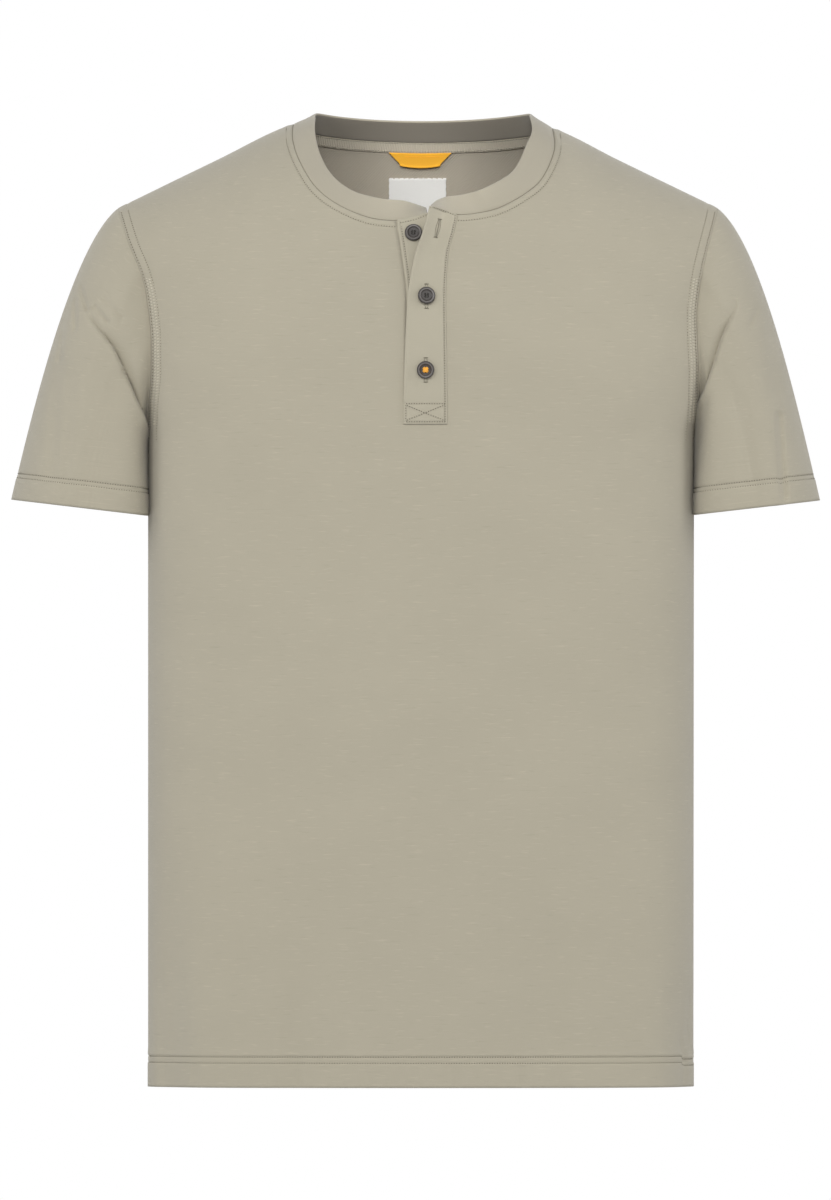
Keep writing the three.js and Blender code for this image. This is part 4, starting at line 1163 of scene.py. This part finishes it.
def button(name, x, z, rise, tilt):
    """A four-hole button sewn on at x and z, with its thread: a cross of thick orange on the lowest."""
    radii = np.concatenate([[0.02], np.linspace(0.25, 3.6, 22), RIM_RINGS, BUTTON_BACK[0]])
    turn = np.linspace(0, 2 * math.pi, BUTTON_TURNS, endpoint=False)
    radius, turn = np.meshgrid(radii, turn, indexing="ij")
    u, v = radius * np.cos(turn), radius * np.sin(turn)
    high = np.interp(radius, *BUTTON_FACE)
    for angle in QUARTERS:
        gap = np.hypot(u - HOLE_REACH * math.cos(angle), v - HOLE_REACH * math.sin(angle))
        high -= 1.3 * smooth(0.78, 0.55, gap)
    high[-len(BUTTON_BACK[0]) :] = BUTTON_BACK[1][:, None]
    i, j = np.meshgrid(np.arange(len(radii) - 1), np.arange(BUTTON_TURNS), indexing="ij")
    here, there = i * BUTTON_TURNS + j, i * BUTTON_TURNS + (j + 1) % BUTTON_TURNS
    faces = join(here, here + BUTTON_TURNS, there + BUTTON_TURNS, there).reshape(-1, 4)
    # the rim's inner rings take the lighter button colour, a painted highlight
    light = np.isin(i, HIGHLIGHT_RINGS).ravel()
    seat, out = on_body(-1, x, z, rise + 0.2)
    out = unit(out + np.array([tilt, 0, tilt * 0.3]))
    side = unit(np.cross(np.array([0, 0, 1.0]), out))
    frame = np.stack([side, np.cross(out, side), out])
    points = seat + join(u, v, high).reshape(-1, 3) @ frame
    make(name, points, faces, None, [button_matt, button_rim_highlight], light, name)
    reach, pairs, gap, thick, colour = HOLE_REACH, ((0, 1), (2, 3)), 0.22, 0.24, thread_dark
    if name == "button_3":
        reach, pairs, gap, thick, colour = 2.8, ((0, 2), (1, 3)), 0.45, 0.85, thread_orange
    corners = reach * join(np.cos(QUARTERS), np.sin(QUARTERS), 0 * QUARTERS) + (0, 0, 1.9)
    starts, ends = [], []
    for a, b in pairs:
        run = corners[b] - corners[a]
        for offset in (-gap, 0, gap):
            beside = unit(np.array([-run[1], run[0], 0])) * offset
            starts.append(corners[a] + beside)
            ends.append(corners[b] + beside)
    starts, ends = (seat + np.array(rows) @ frame for rows in (starts, ends))
    outs = np.tile(out, (len(starts), 1))
    tubes(name + "_thread", starts, ends, outs, thick, colour, "button", sink=1.2, bow=0.8)


for k, spec in enumerate(BUTTONS):
    button(f"button_{k + 1}", *spec)

# Stage, light and camera

world = bpy.data.worlds.new("studio")
bpy.context.scene.world = world
world.use_nodes = True
sky = world.node_tree
seen, lit = sky.nodes["Background"], node(sky, "Background")
fill(seen, {"Color": (1, 1, 1, 1), "Strength": 1.0})
fill(lit, {"Color": (1, 1, 1, 1), "Strength": 0.33})
path, choose = node(sky, "LightPath"), node(sky, "MixShader")
sky.links.new(path.outputs["Is Camera Ray"], choose.inputs[0])
sky.links.new(lit.outputs[0], choose.inputs[1])
sky.links.new(seen.outputs[0], choose.inputs[2])
sky.links.new(choose.outputs[0], sky.nodes["World Output"].inputs[0])

FLOOR = -0.86
floor_mesh = bpy.data.meshes.new("floor")
floor_corners = [(x, y, FLOOR) for x, y in ((-2.4, -2.2), (2.4, -2.2), (2.4, 2.2), (-2.4, 2.2))]
floor_mesh.from_pydata(floor_corners, [], [(0, 1, 2, 3)])
floor_mesh.materials.append(plain_material("floor", (0.6, 0.6, 0.6), 0.9, 0.1))
floor = put("floor", floor_mesh)

# name, place, what it faces, width and height, watts
for name, place, aim, size, power in (
    ("front", (0, -3.8, 1.35), (0, 0, -0.1), (1.2, 0.9), 65),
    ("key", (-3.0, -3.9, 1.4), (0, 0, -0.2), (1.6, 1.6), 48),
    ("fill", (2.8, -4.2, 0.6), (0, 0, -0.2), (2.2, 2.0), 18),
    ("left", (-4.2, -0.9, 1.2), (0, 0, -0.3), (2.0, 2.0), 36),
    ("right", (4.2, -1.1, 1.0), (0, 0, -0.3), (2.2, 2.2), 53),
    ("back left", (1.7, 4.6, 1.0), (0, 0, -0.1), (1.8, 1.8), 60),
    ("back right", (-1.7, 4.6, 1.0), (0, 0, -0.1), (1.8, 1.8), 60),
):
    lamp = bpy.data.lights.new(name, "AREA")
    lamp.shape = "RECTANGLE"
    lamp.size, lamp.size_y = size
    lamp.energy = power
    put(name, lamp, place, aim)

# a narrow soft beam into the neck, on the label and loop
beam = bpy.data.lights.new("neck beam", "SPOT")
beam.energy, beam.shadow_soft_size = 600, 0.03
beam.spot_size, beam.spot_blend = math.radians(1.15), 0.6
put("neck beam", beam, (0, -6, 1.0), (0, 0.08, -0.04))

lens = bpy.data.cameras.new("camera")
lens.sensor_width, lens.lens = 36, 1000
lens.clip_start, lens.clip_end = 0.1, 100
camera = put("camera", lens, (-0.0041, -25, -0.357))
camera.rotation_euler = (math.pi / 2, 0, 0)
bpy.context.scene.camera = camera
bpy.context.scene.view_settings.view_transform = "Standard"
